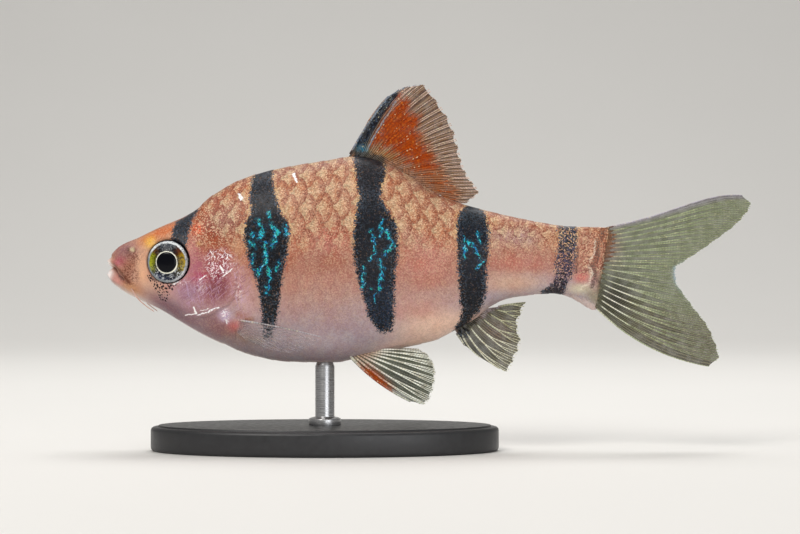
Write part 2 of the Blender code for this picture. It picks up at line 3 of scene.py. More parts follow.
import bmesh
import bpy
import numpy as np
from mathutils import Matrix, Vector


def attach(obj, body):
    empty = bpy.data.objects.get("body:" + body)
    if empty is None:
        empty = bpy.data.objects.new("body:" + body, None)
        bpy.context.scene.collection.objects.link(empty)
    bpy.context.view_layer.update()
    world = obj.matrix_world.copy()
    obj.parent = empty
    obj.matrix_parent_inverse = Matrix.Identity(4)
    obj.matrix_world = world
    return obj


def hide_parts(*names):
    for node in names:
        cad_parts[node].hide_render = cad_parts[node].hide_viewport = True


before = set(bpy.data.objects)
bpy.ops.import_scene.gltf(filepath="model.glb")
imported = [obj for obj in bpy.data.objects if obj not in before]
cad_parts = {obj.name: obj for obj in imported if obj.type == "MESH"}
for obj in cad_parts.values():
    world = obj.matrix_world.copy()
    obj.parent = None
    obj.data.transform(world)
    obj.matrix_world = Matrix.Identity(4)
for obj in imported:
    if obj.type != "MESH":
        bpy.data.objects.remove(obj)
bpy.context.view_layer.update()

# Sizes are in millimetres on the fish's own lines: x runs back from the snout, y is across and z is up
# from the line through the snout and the middle of the tail.
mm = 0.001
snoutX, axisZ = -16.9, 14.2
flanks = (("Left", -1.0), ("Right", 1.0))

bodyShape = {
    "back": [(0.0, 0.62), (0.3, 0.98), (1.0, 1.66), (2.55, 2.37), (4.4, 3.26), (5.95, 3.92), (7.1, 4.62),
             (7.75, 5.34), (8.75, 6.02), (10.3, 6.85), (12.6, 7.57), (17.2, 8.4), (19.4, 8.72), (21.2, 8.28),
             (23.4, 7.24), (25.2, 6.0), (26.4, 5.42), (29.1, 4.56), (33.6, 3.57), (35.8, 3.25),
             (38.7, 3.18)],
    "belly": [(0.0, -0.66), (0.37, -1.13), (1.03, -1.66), (2.5, -2.48), (4.1, -3.22), (5.65, -4.15),
              (7.2, -5.06), (8.8, -5.84), (10.9, -6.75), (14.1, -7.36), (17.5, -7.42), (20.4, -6.84),
              (23.7, -6.14), (25.6, -5.65), (27.0, -4.92), (28.5, -4.08), (29.8, -3.05), (31.4, -2.4),
              (34.7, -2.08), (36.0, -2.26), (37.3, -2.7), (38.7, -3.35)],
    "halfWidth": [(0.0, 0.95), (1.1, 1.3), (2.1, 1.65), (3.5, 2.12), (4.6, 2.38), (7.2, 2.82), (10.3, 3.12),
                  (15.0, 3.42), (18.0, 3.4), (22.0, 3.08), (26.0, 2.55), (30.0, 1.86), (34.0, 1.22),
                  (36.5, 0.8), (37.9, 0.5), (38.7, 0.32)],
    "level": [(0.0, -0.05), (4.6, 0.3), (10.0, 0.5), (17.0, 0.1), (26.0, 0.3), (38.7, 0.1)],
    "backRounding": [(0.0, 0.85), (6.0, 0.9), (10.0, 1.08), (28.0, 1.05), (38.7, 0.7)],
    "bellyRounding": [(0.0, 0.8), (6.0, 0.86), (14.0, 0.9), (28.0, 1.0), (38.7, 0.7)],
    "noseDepth": 0.45, "noseWidth": 1.5,
    "endX": 38.7, "endLean": 0.17, "leanFrom": 34.0, "endRound": 0.4,
}


def toWorld(points):
    return (np.asarray(points, float) + (snoutX, 0.0, axisZ)) * mm


def ramp(t):  # 0 to 1, smooth at both ends
    t = np.clip(t, 0.0, 1.0)
    return t * t * (3 - 2 * t)


def bell(far, width):  # 1 where far is 0, falling off softly to both sides
    return np.exp(-((far / width) ** 2))


def spot(x, z, place):  # 1 in the middle of a soft oval, 0 well outside
    centreX, centreZ, reachX, reachZ = place[:4]
    return np.exp(-(((x - centreX) / reachX) ** 2) - ((z - centreZ) / reachZ) ** 2)


def unit(vectors):
    return vectors / np.linalg.norm(vectors, axis=-1, keepdims=True)


def smoothLine(points):  # a monotone cubic through (position, value) pairs
    at, value = np.array(sorted(points), float).T
    step = np.diff(at)
    slope = np.diff(value) / step
    tangent = np.zeros(len(at))
    tangent[0], tangent[-1] = slope[0], slope[-1]
    for k in range(1, len(at) - 1):
        if slope[k - 1] * slope[k] > 0:
            before, after = 2 * step[k] + step[k - 1], step[k] + 2 * step[k - 1]
            tangent[k] = (before + after) / (before / slope[k - 1] + after / slope[k])

    def curve(x):
        x = np.clip(np.asarray(x, float), at[0], at[-1])
        k = np.clip(np.searchsorted(at, x) - 1, 0, len(step) - 1)
        t = (x - at[k]) / step[k]
        near = (1 + 2 * t) * (1 - t) ** 2 * value[k] + t * (1 - t) ** 2 * step[k] * tangent[k]
        far = t**2 * (3 - 2 * t) * value[k + 1] + t**2 * (t - 1) * step[k] * tangent[k + 1]
        return near + far

    return curve


backLine, bellyLine, halfWidth, widestLevel, backRounding, bellyRounding = [
    smoothLine(bodyShape[key])
    for key in ("back", "belly", "halfWidth", "level", "backRounding", "bellyRounding")]


def lineDistance(x, z, line):  # distance to a line, which side of it, and the share along it
    line = np.asarray(line, float)
    lengths = np.hypot(*np.diff(line, axis=0).T)
    starts = np.concatenate([[0], np.cumsum(lengths)])
    best = np.full(x.shape, 1e9)
    side, along = np.zeros(x.shape), np.zeros(x.shape)
    for k, length in enumerate(lengths):
        (ax, az), (bx, bz) = line[k], line[k + 1]
        dx, dz = (bx - ax) / length, (bz - az) / length
        t = np.clip((x - ax) * dx + (z - az) * dz, 0, length)
        far = np.hypot(x - ax - t * dx, z - az - t * dz)
        closer = far < best
        best = np.where(closer, far, best)
        side = np.where(closer, np.sign(dx * (z - az) - dz * (x - ax)), side)
        along = np.where(closer, (starts[k] + t) / starts[-1], along)
    return best, side, along


def insideDepth(x, z, outline):  # how deep a point lies inside a closed outline, in mm, negative outside
    outline = np.array(outline + outline[:1], float)
    turns = np.zeros(x.shape)
    for (ax, az), (bx, bz) in zip(outline[:-1], outline[1:]):
        crosses = (az > z) != (bz > z)
        with np.errstate(divide="ignore", invalid="ignore"):
            meets = ax + (z - az) / (bz - az) * (bx - ax)
        turns += crosses & (x < meets)
    away = lineDistance(x, z, outline)[0]
    return np.where(turns % 2 == 1, away, -away)


def curvePoints(keys, count):  # a smooth line through a few (x, z) or (x, y, z) points
    columns = np.array(keys, float).T
    index = np.linspace(0, len(keys) - 1, count)
    return np.stack([smoothLine(list(enumerate(column)))(index) for column in columns], axis=1)


def tubeFrame(line, aside):  # two directions round a line of points, the first square to the way aside
    along = unit(np.gradient(line, axis=0))
    across = unit(np.cross(along, aside))
    return across, np.cross(across, along)


def selectOnly(piece=None):
    if bpy.context.object and bpy.context.object.mode != "OBJECT":
        bpy.ops.object.mode_set(mode="OBJECT")
    bpy.ops.object.select_all(action="DESELECT")
    if piece:
        piece.select_set(True)
        bpy.context.view_layer.objects.active = piece


def startEdit(piece):
    selectOnly(piece)
    bpy.ops.object.mode_set(mode="EDIT")
    bpy.ops.mesh.select_all(action="SELECT")


def endEdit():  # with every face turned outward
    bpy.ops.mesh.select_all(action="SELECT")
    bpy.ops.mesh.normals_make_consistent(inside=False)
    bpy.ops.object.mode_set(mode="OBJECT")


def nameNew(name):  # the object that was just added
    piece = bpy.context.object
    piece.name = piece.data.name = name
    piece.data.uv_layers[0].name = "OFBake"
    return piece


def readPoints(piece):
    flat = np.empty(len(piece.data.vertices) * 3, np.float32)
    piece.data.vertices.foreach_get("co", flat)
    return flat.reshape(-1, 3)


def setPoints(piece, points):
    piece.data.vertices.foreach_set("co", points.astype(np.float32).ravel())
    piece.data.update()


def gridPiece(name, columns, rows):  # a flat grid and its shares along each way; its shape is set later
    selectOnly()
    bpy.ops.mesh.primitive_grid_add(x_subdivisions=columns, y_subdivisions=rows, size=1.0, calc_uvs=True)
    piece = nameNew(name)
    u, v = np.round(readPoints(piece)[:, :2] + 0.5, 5).T
    return piece, u, v


def joinedPiece(name, points, faces, mapPoints):  # one mesh from lists of points, faces and map points
    mesh = bpy.data.meshes.new(name)
    mesh.from_pydata(toWorld(np.concatenate(points)).tolist(), [], faces)
    piece = bpy.data.objects.new(name, mesh)
    bpy.context.scene.collection.objects.link(piece)
    loops = np.empty(len(mesh.loops), np.int32)
    mesh.loops.foreach_get("vertex_index", loops)
    layer = mesh.uv_layers.new(name="OFBake")
    layer.data.foreach_set("uv", np.concatenate(mapPoints)[loops].astype(np.float32).ravel())
    startEdit(piece)
    endEdit()
    return piece


def shadeSmooth(piece, degrees):
    selectOnly(piece)
    bpy.ops.object.shade_smooth_by_angle(angle=math.radians(degrees))


def giveValues(piece, table):  # a value or a colour at every vertex, by name
    for name, values in table.items():
        values = np.asarray(values, np.float32)
        kind, field = ("FLOAT", "value") if values.ndim == 1 else ("FLOAT_COLOR", "color")
        piece.data.attributes.new(name, kind, "POINT").data.foreach_set(field, values.ravel())


def finishPiece(piece, material, nodes, degrees, weld=0.0):
    if weld:  # points nearer than this, in mm, become one
        startEdit(piece)
        bpy.ops.mesh.remove_doubles(threshold=weld * mm)
        endEdit()
    shadeSmooth(piece, degrees)
    piece.data.materials.clear()
    piece.data.materials.append(material)
    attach(piece, "root")
    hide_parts(*nodes)
    print(f"{piece.name}: {len(piece.data.vertices)} vertices, {len(piece.data.polygons)} faces")


def linearOf(colour):  # a picture's shares of red, green and blue to the renderer's
    return np.where(colour <= 0.04045, colour / 12.92, ((colour + 0.055) / 1.055) ** 2.4)


def mixTo(colour, target, weight):
    return colour + (np.array(target, float) - colour) * weight[:, None]


def toned(colour, fourth):  # colours of 0 to 255 and one more value, as a table of four columns
    return np.column_stack([linearOf(np.clip(colour, 0, 255) / 255), fourth])


class Paint:  # one material, with a colour that is laid on coat by coat, and its cover
    def __init__(self, name, settings):
        self.material = bpy.data.materials.new(name)
        self.material.use_nodes = True
        self.tree = self.material.node_tree
        self.tree.nodes.clear()
        self.shader = self.add("BsdfPrincipled", settings)
        self.add("OutputMaterial", {"Surface": self.shader.outputs[0]})
        self.place = self.add("TexCoord").outputs["Object"]
        self.colour = self.cover = None

    def add(self, kind, inputs=None, **settings):
        node = self.tree.nodes.new("ShaderNode" + kind)
        for key, value in settings.items():
            setattr(node, key, value)
        for key, value in (inputs or {}).items():
            if isinstance(value, bpy.types.NodeSocket):
                self.tree.links.new(value, node.inputs[key])
            else:
                node.inputs[key].default_value = value
        return node

    def read(self, name):  # the outputs of a vertex attribute
        return self.add("Attribute", attribute_name=name).outputs

    def split(self, colour):
        return self.add("SeparateColor", {"Color": colour}).outputs

    def math(self, operation, first, second=0.0):
        return self.add("Math", {0: first, 1: second}, operation=operation).outputs[0]

    def plus(self, first, second):
        return self.math("ADD", first, second)

    def minus(self, first, second):
        return self.math("SUBTRACT", first, second)

    def times(self, first, *others):
        for factor in others:
            first = self.math("MULTIPLY", first, factor)
        return first

    def shaken(self, value, *noises):  # moved up and down by noises, each with its reach
        for noise, reach in noises:
            value = self.plus(value, self.times(self.minus(noise, 0.5), reach))
        return value

    def step(self, value, low, high, outLow=0.0, outHigh=1.0):  # a smooth step from low to high
        sockets = {"Value": value, "From Min": low, "From Max": high, "To Min": outLow, "To Max": outHigh}
        return self.add("MapRange", sockets, interpolation_type="SMOOTHSTEP").outputs[0]

    def mix(self, factor, first, second, blend="MIX"):  # each colour a socket, or red, green and blue
        colours = [c if isinstance(c, bpy.types.NodeSocket) else (*linearOf(np.array(c) / 255), 1.0)
                   for c in (first, second)]
        node = self.add("Mix", {0: factor, 6: colours[0], 7: colours[1]}, data_type="RGBA", blend_type=blend)
        return node.outputs[2]

    def lay(self, colour, *weights, blend="MIX"):
        self.colour = self.mix(self.times(*weights), self.colour, colour, blend)

    def noise(self, size, detail=2.0, output=0):  # size is a blotch's width in mm
        sockets = {"Vector": self.place, "Scale": 1 / (size * mm), "Detail": detail}
        return self.add("TexNoise", sockets).outputs[output]

    def streaks(self, sizes, turn=0.0, detail=2.0, distortion=0.0):  # noise drawn out to sizes in mm
        sockets = {"Vector": self.place, "Rotation": (0.0, turn, 0.0), "Scale": [s * mm for s in sizes]}
        place = self.add("Mapping", sockets, vector_type="TEXTURE").outputs[0]
        sockets = {"Vector": place, "Scale": 1.0, "Detail": detail, "Distortion": distortion}
        return self.add("TexNoise", sockets).outputs[0]

    def cells(self, spacing):
        sockets = {"Vector": self.place, "Scale": 1 / (spacing * mm), "Randomness": 1.0}
        return self.add("TexVoronoi", sockets).outputs

    def grains(self, spacing):  # three random values for each small cell, as grains of pigment
        return self.split(self.cells(spacing)["Color"])

    def dots(self, spacing, radius, soft=0.25):  # round dots, one to a cell, as 1 inside and 0 outside
        size = radius / spacing
        return self.step(self.cells(spacing)["Distance"], size * (1 + soft), size * (1 - soft))

    def vectors(self, operation, first, second, output=0):
        return self.add("VectorMath", {0: first, 1: second}, operation=operation).outputs[output]

    def strokeFar(self, noise, strokes, shake):  # distance to the nearest stroke, in its own half widths
        flat = self.vectors("MULTIPLY", self.place, (1 / mm, 0.0, 1 / mm))
        wander = self.vectors("SUBTRACT", noise, (0.5, 0.5, 0.5))
        wander = self.vectors("MULTIPLY", wander, (shake, 0.0, shake))
        flat = self.vectors("ADD", flat, wander)
        nearest = None
        for ax, az, bx, bz, half in strokes:
            start, run = Vector((ax + snoutX, 0, az + axisZ)), Vector((bx - ax, 0, bz - az))
            off = self.vectors("SUBTRACT", flat, start)
            share = self.vectors("DOT_PRODUCT", off, run / run.length_squared, "Value")
            share = self.add("Clamp", {0: share}).outputs[0]
            foot = self.add("VectorMath", {0: run, "Scale": share}, operation="SCALE").outputs[0]
            far = self.math("DIVIDE", self.vectors("DISTANCE", off, foot, "Value"), half)
            nearest = far if nearest is None else self.math("MINIMUM", nearest, far)
        return nearest

    def finish(self, height=None, depth=0.0, strength=0.0, **links):  # relief in mm
        links["Base Color"] = self.colour
        if self.cover is not None:
            links["Alpha"] = self.cover
        if height is not None:
            bump = self.add("Bump", {"Height": height, "Distance": depth * mm, "Strength": strength})
            links["Normal"] = bump.outputs[0]
        for key, socket in links.items():
            self.tree.links.new(socket, self.shader.inputs[key])
        return self.material


# Camera: a long lens, level with the fish, on its left side
cameraSetting = {"place": (5.83, -172.5, 14.24), "lens": 100.0, "sensor": 36.0, "near": 0.005, "far": 5.0}


def addCamera():
    selectOnly()
    place = Vector(cameraSetting["place"]) * mm
    bpy.ops.object.camera_add(location=place, rotation=(math.pi / 2, 0, 0))
    camera = bpy.context.object
    camera.name = "sideCamera"
    camera.data.lens = cameraSetting["lens"]
    camera.data.sensor_width = cameraSetting["sensor"]
    camera.data.clip_start = cameraSetting["near"]
    camera.data.clip_end = cameraSetting["far"]
    bpy.context.scene.camera = camera


studio = {
    "floorColour": (226, 224, 220), "floorReach": 900.0, "sweepRise": 700.0, "sweepStart": 220.0,
    "skyColour": (1.0, 0.99, 0.975, 1.0), "skyStrength": 0.34,
    # each lamp's place, size in mm, power in W, colour and what it looks at
    "lamps": {
        "keyLight": ((-110.0, -190.0, 230.0), 150.0, 0.42, (1.0, 0.975, 0.94), (5.0, 0.0, 13.0)),
        "fillLight": ((110.0, -230.0, 28.0), 170.0, 0.2, (0.95, 0.97, 1.0), (5.0, 0.0, 13.0)),
        "topLight": ((20.0, 90.0, 240.0), 150.0, 0.26, (1.0, 1.0, 1.0), (5.0, 0.0, 13.0)),
        "sweepLight": ((6.0, 110.0, 330.0), 320.0, 0.5, (1.0, 1.0, 1.0), (6.0, 380.0, 0.0)),
    },
}


def addLamp(name, place, size, power, colour, aim):
    selectOnly()
    bpy.ops.object.light_add(type="AREA", location=Vector(place) * mm)
    lamp = bpy.context.object
    lamp.name = name
    lamp.data.shape = "DISK"
    lamp.data.size = size * mm
    lamp.data.energy = power
    lamp.data.color = colour
    lamp.rotation_euler = (Vector(aim) - Vector(place)).to_track_quat("-Z", "Y").to_euler()


def addStudio():
    scene = bpy.context.scene
    scene.view_settings.view_transform = "Standard"
    world = bpy.data.worlds.new("studioSky")
    world.use_nodes = True
    sky = world.node_tree.nodes["Background"].inputs
    sky["Color"].default_value = studio["skyColour"]
    sky["Strength"].default_value = studio["skyStrength"]
    scene.world = world
    for name, lamp in studio["lamps"].items():
        addLamp(name, *lamp)
    # The floor turns up into the backdrop in one curve, so no edge shows
    floor, u, v = gridPiece("floorSweep", 24, 60)
    reach, rise, start = studio["floorReach"], studio["sweepRise"], studio["sweepStart"]
    run = v * (2 * reach)
    past = np.maximum(run - reach - start, 0) / (reach - start) * math.pi / 2
    y = np.minimum(run, reach + start) - reach + (reach - start) * 0.6 * np.sin(past)
    z = rise * (1 - np.cos(past))
    setPoints(floor, np.stack([(u - 0.5) * 2 * reach, y, z], axis=1) * mm)
    shadeSmooth(floor, 60)
    paint = Paint("paleFloor", {"Roughness": 0.75})
    pale = studio["floorColour"]
    paint.colour = paint.mix(paint.noise(40.0), [share - 3 for share in pale], pale)
    floor.data.materials.append(paint.finish())
    print("studio is set")


# The skin: one closed surface from the snout to the root of the tail fin
skinMesh = {
    "noseRings": 34, "headStep": 0.07, "headEnd": 10.9, "trunkStep": 0.15, "endRings": 7, "sides": 256,
    "reliefEnd": 11.5, "trunkInset": 0.07,  # room for the scales, which lie over it
}
mouth = {
    "cleft": [(-0.8, 0.02), (0.25, -0.03), (0.6, -0.28), (1.0, -0.62), (1.4, -0.95)],
    "depth": 0.42, "cornerDepth": 0.08, "width": 0.27, "cornerWidth": 0.45,
    "openFrom": 0.55, "openRun": 0.65, "end": 1.75, "endRun": 0.5,
    "lipRise": 0.1, "lipAway": 0.5, "lipWidth": 0.17, "lipLeast": 0.35, "lipEnd": 1.3, "lipRun": 0.9,
    "nick": 0.1, "nickAway": 0.86, "nickWidth": 0.13, "nickEnd": 0.9, "nickRun": 0.6,
    "jawBone": [(0.75, 0.5), (1.2, -0.1), (1.7, -0.9), (1.95, -1.4)],
    "boneRise": 0.09, "boneWidth": 0.2, "boneEnds": 0.15,
    "foldDepth": 0.06, "foldAhead": 0.26, "foldWidth": 0.1,
}
nostrils = [(1.76, 1.37, 0.13), (2.2, 1.29, 0.19)]  # x, z, radius
nostrilForm = {"depth": 0.22, "steep": 1.6, "rise": 0.05, "rimAt": 1.45, "rimWidth": 0.4}
eyePlace = {"x": 4.97, "z": 0.45, "radius": 1.68, "centreY": 2.0, "yaw": 9.0, "pitch": 5.0}
# The socket's rim, the dip inside it and the well under the eye: how high or deep, and how far out
eyeSocket = {"rim": 0.05, "rimAt": 1.86, "dip": 0.1, "dipAt": 1.78, "edge": 0.12,
             "well": 0.9, "wellAt": 1.71, "wellEdge": 0.08, "brow": (4.9, 2.45, 1.3, 0.35), "browRise": 0.07}
gillCover = {
    "edge": [(7.0, 4.9), (8.1, 3.6), (9.15, 1.95), (9.95, 0.8), (10.3, -0.6), (10.15, -1.9), (9.65, -2.8),
             (8.9, -3.25), (7.9, -3.72), (7.0, -3.87), (6.3, -3.74), (5.3, -3.4)],
    "rise": 0.11, "band": 1.5, "lip": 0.16, "gap": 0.03, "gapAt": 0.12, "gapWidth": 0.1,
    "fadeFrom": 0.12, "fadeRun": 0.25,
    "ridge": [(6.9, 2.6), (7.5, 1.2), (7.75, -0.3), (7.4, -1.7), (6.4, -2.6), (5.2, -2.9)],
    "ridgeDepth": 0.06, "ridgeWidth": 0.2, "ridgeEnds": 0.2,
    # behind it the scales begin: heights, and x there
    "behind": [(-7.0, 8.6), (-4.6, 8.9), (-3.3, 9.6), (-1.9, 10.3), (-0.6, 10.45), (0.8, 10.1), (2.0, 9.3),
               (3.6, 8.2), (4.9, 7.4), (6.6, 7.0)], "behindRun": 0.5,
}
gillEdge = curvePoints(gillCover["edge"], 80)


def ringStations():
    noseEnd, headEnd, bodyEnd = bodyShape["noseWidth"], skinMesh["headEnd"], bodyShape["endX"]
    nose = noseEnd * (1 - np.cos(np.linspace(0, math.pi / 2, skinMesh["noseRings"] + 1)))
    head = np.arange(noseEnd + skinMesh["headStep"], headEnd, skinMesh["headStep"])
    trunk = np.linspace(headEnd, bodyEnd, round((bodyEnd - headEnd) / skinMesh["trunkStep"]))
    turn = np.linspace(0, math.pi / 2, skinMesh["endRings"])[1:]
    return np.concatenate([nose, head, trunk, bodyEnd + bodyShape["endRound"] * np.sin(turn)])


def halfRing(x, angle):  # one flank of the section at x, from the belly up to the back
    nose = [math.sqrt(1 - (1 - min(x / bodyShape[k], 1)) ** 2) for k in ("noseDepth", "noseWidth")]
    past = max(x - bodyShape["endX"], 0) / bodyShape["endRound"]
    level, back = float(widestLevel(x)), float(backLine(x))
    up, down = (back - level) * nose[0], (level - float(bellyLine(x))) * nose[0]
    width = float(halfWidth(x)) * nose[1] * math.sqrt(max(1 - past**2, 0))
    rise = -np.cos(angle)
    z = level + np.where(rise >= 0, up, down) * rise
    y = width * np.sin(angle) ** np.where(rise >= 0, backRounding(x), bellyRounding(x))
    leanRun = bodyShape["endX"] - bodyShape["leanFrom"]
    lean = bodyShape["endLean"] * ramp((x - bodyShape["leanFrom"]) / leanRun)
    return np.stack([x - lean * (back - z), y, z], axis=1)


ringXs = ringStations()
flankShares = np.linspace(0, 1, skinMesh["sides"] // 2 + 1)
flankGrid = np.empty((len(ringXs), len(flankShares), 3))  # the right flank, at equal steps round each ring
flankLength = np.empty(len(ringXs))
fineAngles = np.linspace(0, math.pi, 400)
for ringIndex, ringX in enumerate(ringXs):
    ring = halfRing(ringX, fineAngles)
    travelled = np.concatenate([[0], np.cumsum(np.linalg.norm(np.diff(ring, axis=0), axis=1))])
    flankLength[ringIndex] = travelled[-1]
    for axis in range(3):
        flankGrid[ringIndex, :, axis] = np.interp(flankShares * travelled[-1], travelled, ring[:, axis])
flankGrid[:, 0, 1] = flankGrid[:, -1, 1] = 0.0


def gridNormals(grid):  # outward, for a grid of points of the right flank
    normal = np.cross(np.gradient(grid, axis=0), np.gradient(grid, axis=1))
    normal /= np.maximum(np.linalg.norm(normal, axis=2, keepdims=True), 1e-9)
    if normal[len(grid) // 2, grid.shape[1] // 2, 1] < 0:
        normal = -normal
    normal[0] = (-1, 0, 0)
    normal[-1] = (1, 0, 0)
    normal[:, 0, 1] = normal[:, -1, 1] = 0
    return unit(normal)


flankNormals = gridNormals(flankGrid)


def lineEnds(along, run):  # 1 along a line, and 0 at both its ends
    return ramp(along / run) * ramp((1 - along) / run)


def gillRelief(x, z):
    away, side, along = lineDistance(x, z, gillEdge)
    inside = np.where(side < 0, away, -away)
    fade = ramp((along - gillCover["fadeFrom"]) / gillCover["fadeRun"])
    fade *= ramp((1 - along) / gillCover["fadeRun"])
    swell = gillCover["rise"] * ramp(1 - inside / gillCover["band"]) * ramp(inside / gillCover["lip"] + 0.5)
    groove = gillCover["gap"] * bell(inside + gillCover["gapAt"], gillCover["gapWidth"])
    return (swell - groove) * fade * (away < gillCover["band"])


def mouthRelief(x, z):
    away, side, along = lineDistance(x, z, curvePoints(mouth["cleft"], 24))
    opened = ramp(1 - ramp((x - mouth["openFrom"]) / mouth["openRun"]))
    depth = mouth["cornerDepth"] + (mouth["depth"] - mouth["cornerDepth"]) * opened
    width = mouth["width"] * (mouth["cornerWidth"] + (1 - mouth["cornerWidth"]) * opened)
    lip = mouth["lipLeast"] + (1 - mouth["lipLeast"]) * ramp((mouth["lipEnd"] - x) / mouth["lipRun"])
    relief = mouth["lipRise"] * lip * bell(away - mouth["lipAway"], mouth["lipWidth"])
    relief = (relief - depth * bell(away, width)) * ramp((mouth["end"] - x) / mouth["endRun"])
    nick = ramp((mouth["nickEnd"] - x) / mouth["nickRun"]) * (side > 0)
    relief -= mouth["nick"] * nick * bell(away - mouth["nickAway"], mouth["nickWidth"])
    away, side, along = lineDistance(x, z, curvePoints(mouth["jawBone"], 16))
    bone = mouth["boneRise"] * bell(away, mouth["boneWidth"])
    for ahead in (-mouth["foldAhead"], mouth["foldAhead"]):
        bone -= mouth["foldDepth"] * bell(away * side - ahead, mouth["foldWidth"])
    return relief + bone * lineEnds(along, mouth["boneEnds"])


def headRelief(x, z):  # how far the head's own forms stand out of the smooth body
    relief = mouthRelief(x, z) + gillRelief(x, z)
    for pitX, pitZ, radius in nostrils:
        far = np.hypot(x - pitX, z - pitZ) / radius
        relief += nostrilForm["rise"] * bell(far - nostrilForm["rimAt"], nostrilForm["rimWidth"])
        relief -= nostrilForm["depth"] * np.exp(-(far**2) * nostrilForm["steep"])
    far = np.hypot(x - eyePlace["x"], z - eyePlace["z"])
    relief += eyeSocket["rim"] * bell(far - eyeSocket["rimAt"], eyeSocket["edge"])
    relief -= eyeSocket["dip"] * ramp((eyeSocket["dipAt"] - far) / eyeSocket["edge"])
    relief -= eyeSocket["well"] * ramp((eyeSocket["wellAt"] - far) / eyeSocket["wellEdge"])
    relief += eyeSocket["browRise"] * spot(x, z, eyeSocket["brow"])
    away, side, along = lineDistance(x, z, curvePoints(gillCover["ridge"], 30))
    ridge = gillCover["ridgeDepth"] * bell(away, gillCover["ridgeWidth"])
    return relief - ridge * lineEnds(along, gillCover["ridgeEnds"])


def behindGills(x, z):  # 0 on the head and 1 on the trunk
    return ramp((x - np.interp(z, *np.transpose(gillCover["behind"]))) / gillCover["behindRun"])


def skinPoint(x, share, side, lift=0.0):  # a point of the trunk's skin: share runs 0 belly to 1 back
    x, share = np.asarray(x, float), np.asarray(share, float)
    over = (share > 1) | (share < 0)
    share = np.where(share > 1, 2 - share, np.abs(share))
    row = np.interp(x, ringXs, np.arange(len(ringXs)))
    column = share * (len(flankShares) - 1)
    r, c = np.minimum(row.astype(int), len(ringXs) - 2), np.minimum(column.astype(int), len(flankShares) - 2)
    fr, fc = (row - r)[..., None], (column - c)[..., None]
    point, normal = [(1 - fr) * ((1 - fc) * grid[r, c] + fc * grid[r, c + 1])
                     + fr * ((1 - fc) * grid[r + 1, c] + fc * grid[r + 1, c + 1])
                     for grid in (flankGrid, flankNormals)]
    point = point + normal * (np.asarray(lift) - skinMesh["trunkInset"])[..., None]
    point[..., 1] *= np.where(over, -side, side)
    return point


# Markings, all read in the side view so that skin and scales agree
bands = {  # rows of (z, front x, rear x)
    "A": [(7.6, 11.6, 12.9), (6.7, 11.3, 12.95), (5.6, 11.2, 13.2), (4.4, 11.3, 13.6), (2.9, 10.8, 14.35),
          (1.3, 11.0, 14.2), (-0.2, 11.4, 13.9), (-1.0, 11.75, 13.8), (-2.5, 12.05, 13.55),
          (-4.2, 12.2, 13.3), (-5.2, 12.1, 12.9)],
    "B": [(9.0, 19.0, 21.3), (7.8, 19.2, 21.6), (7.3, 19.3, 21.65), (6.0, 19.45, 21.3), (5.4, 19.65, 21.27),
          (4.77, 19.5, 21.6), (3.5, 19.3, 22.35), (2.2, 19.15, 22.6), (0.95, 19.17, 22.58),
          (-0.3, 19.4, 22.4), (-1.6, 19.7, 22.35), (-2.86, 20.06, 22.32), (-4.1, 20.4, 22.3),
          (-4.7, 21.0, 22.1)],
    "C": [(4.95, 28.1, 28.8), (4.45, 27.5, 29.1), (3.88, 27.17, 29.4), (2.6, 27.08, 29.6),
          (0.0, 27.15, 29.45), (-1.2, 27.2, 29.4), (-2.5, 27.3, 29.27), (-3.1, 27.4, 29.05),
          (-3.75, 27.45, 28.5), (-4.5, 27.0, 28.0), (-5.3, 26.8, 27.6)],
    "D": [(3.4, 34.9, 36.4), (2.1, 35.0, 36.4), (0.83, 34.72, 36.37), (-0.44, 34.66, 36.18),
          (-1.33, 34.4, 35.67), (-1.75, 33.7, 35.55), (-2.2, 33.6, 35.4)],
    "eye": [(4.6, 6.6, 7.15), (4.0, 6.2, 7.0), (3.6, 5.5, 6.75), (2.5, 5.2, 6.6), (1.6, 5.3, 6.4),
            (1.2, 5.7, 6.2)],
}
inks = [  # x, z, reach in x and z, ink colour, density there
    (12.4, 1.0, 2.2, 3.2, (4, 8, 20), 1.0), (12.2, 6.4, 1.8, 1.6, (46, 48, 58), 1.0),
    (12.8, -3.2, 1.2, 1.2, (22, 24, 32), 1.0), (12.5, -5.0, 1.0, 0.7, (92, 98, 110), 0.5),
    (20.4, 7.2, 1.9, 1.5, (40, 36, 42), 1.0), (20.4, 5.4, 1.5, 0.9, (54, 60, 70), 1.0),
    (20.9, 1.6, 2.2, 2.4, (8, 12, 26), 1.0), (21.4, -3.6, 1.4, 1.9, (22, 38, 60), 1.0),
    (28.3, 3.9, 1.2, 0.8, (48, 58, 66), 1.0), (28.4, 0.6, 1.8, 2.6, (8, 14, 32), 1.0),
    (28.0, -3.4, 1.2, 1.5, (10, 10, 18), 1.0), (35.6, 2.4, 1.6, 1.4, (72, 72, 88), 0.66),
    (35.5, 0.0, 1.6, 1.4, (78, 60, 84), 0.6), (34.8, -1.8, 1.4, 0.6, (46, 36, 42), 0.94),
    (6.2, 3.2, 1.2, 2.2, (36, 42, 54), 1.0),
]
flankTones = [  # share of the way from belly to back, then the colour there
    (0.0, 150, 142, 150), (0.12, 172, 160, 172), (0.22, 178, 152, 156), (0.34, 182, 140, 130),
    (0.5, 172, 108, 86), (0.62, 188, 123, 94), (0.78, 202, 138, 96), (0.9, 194, 130, 90),
    (0.97, 172, 118, 84), (1.0, 146, 104, 76),
]
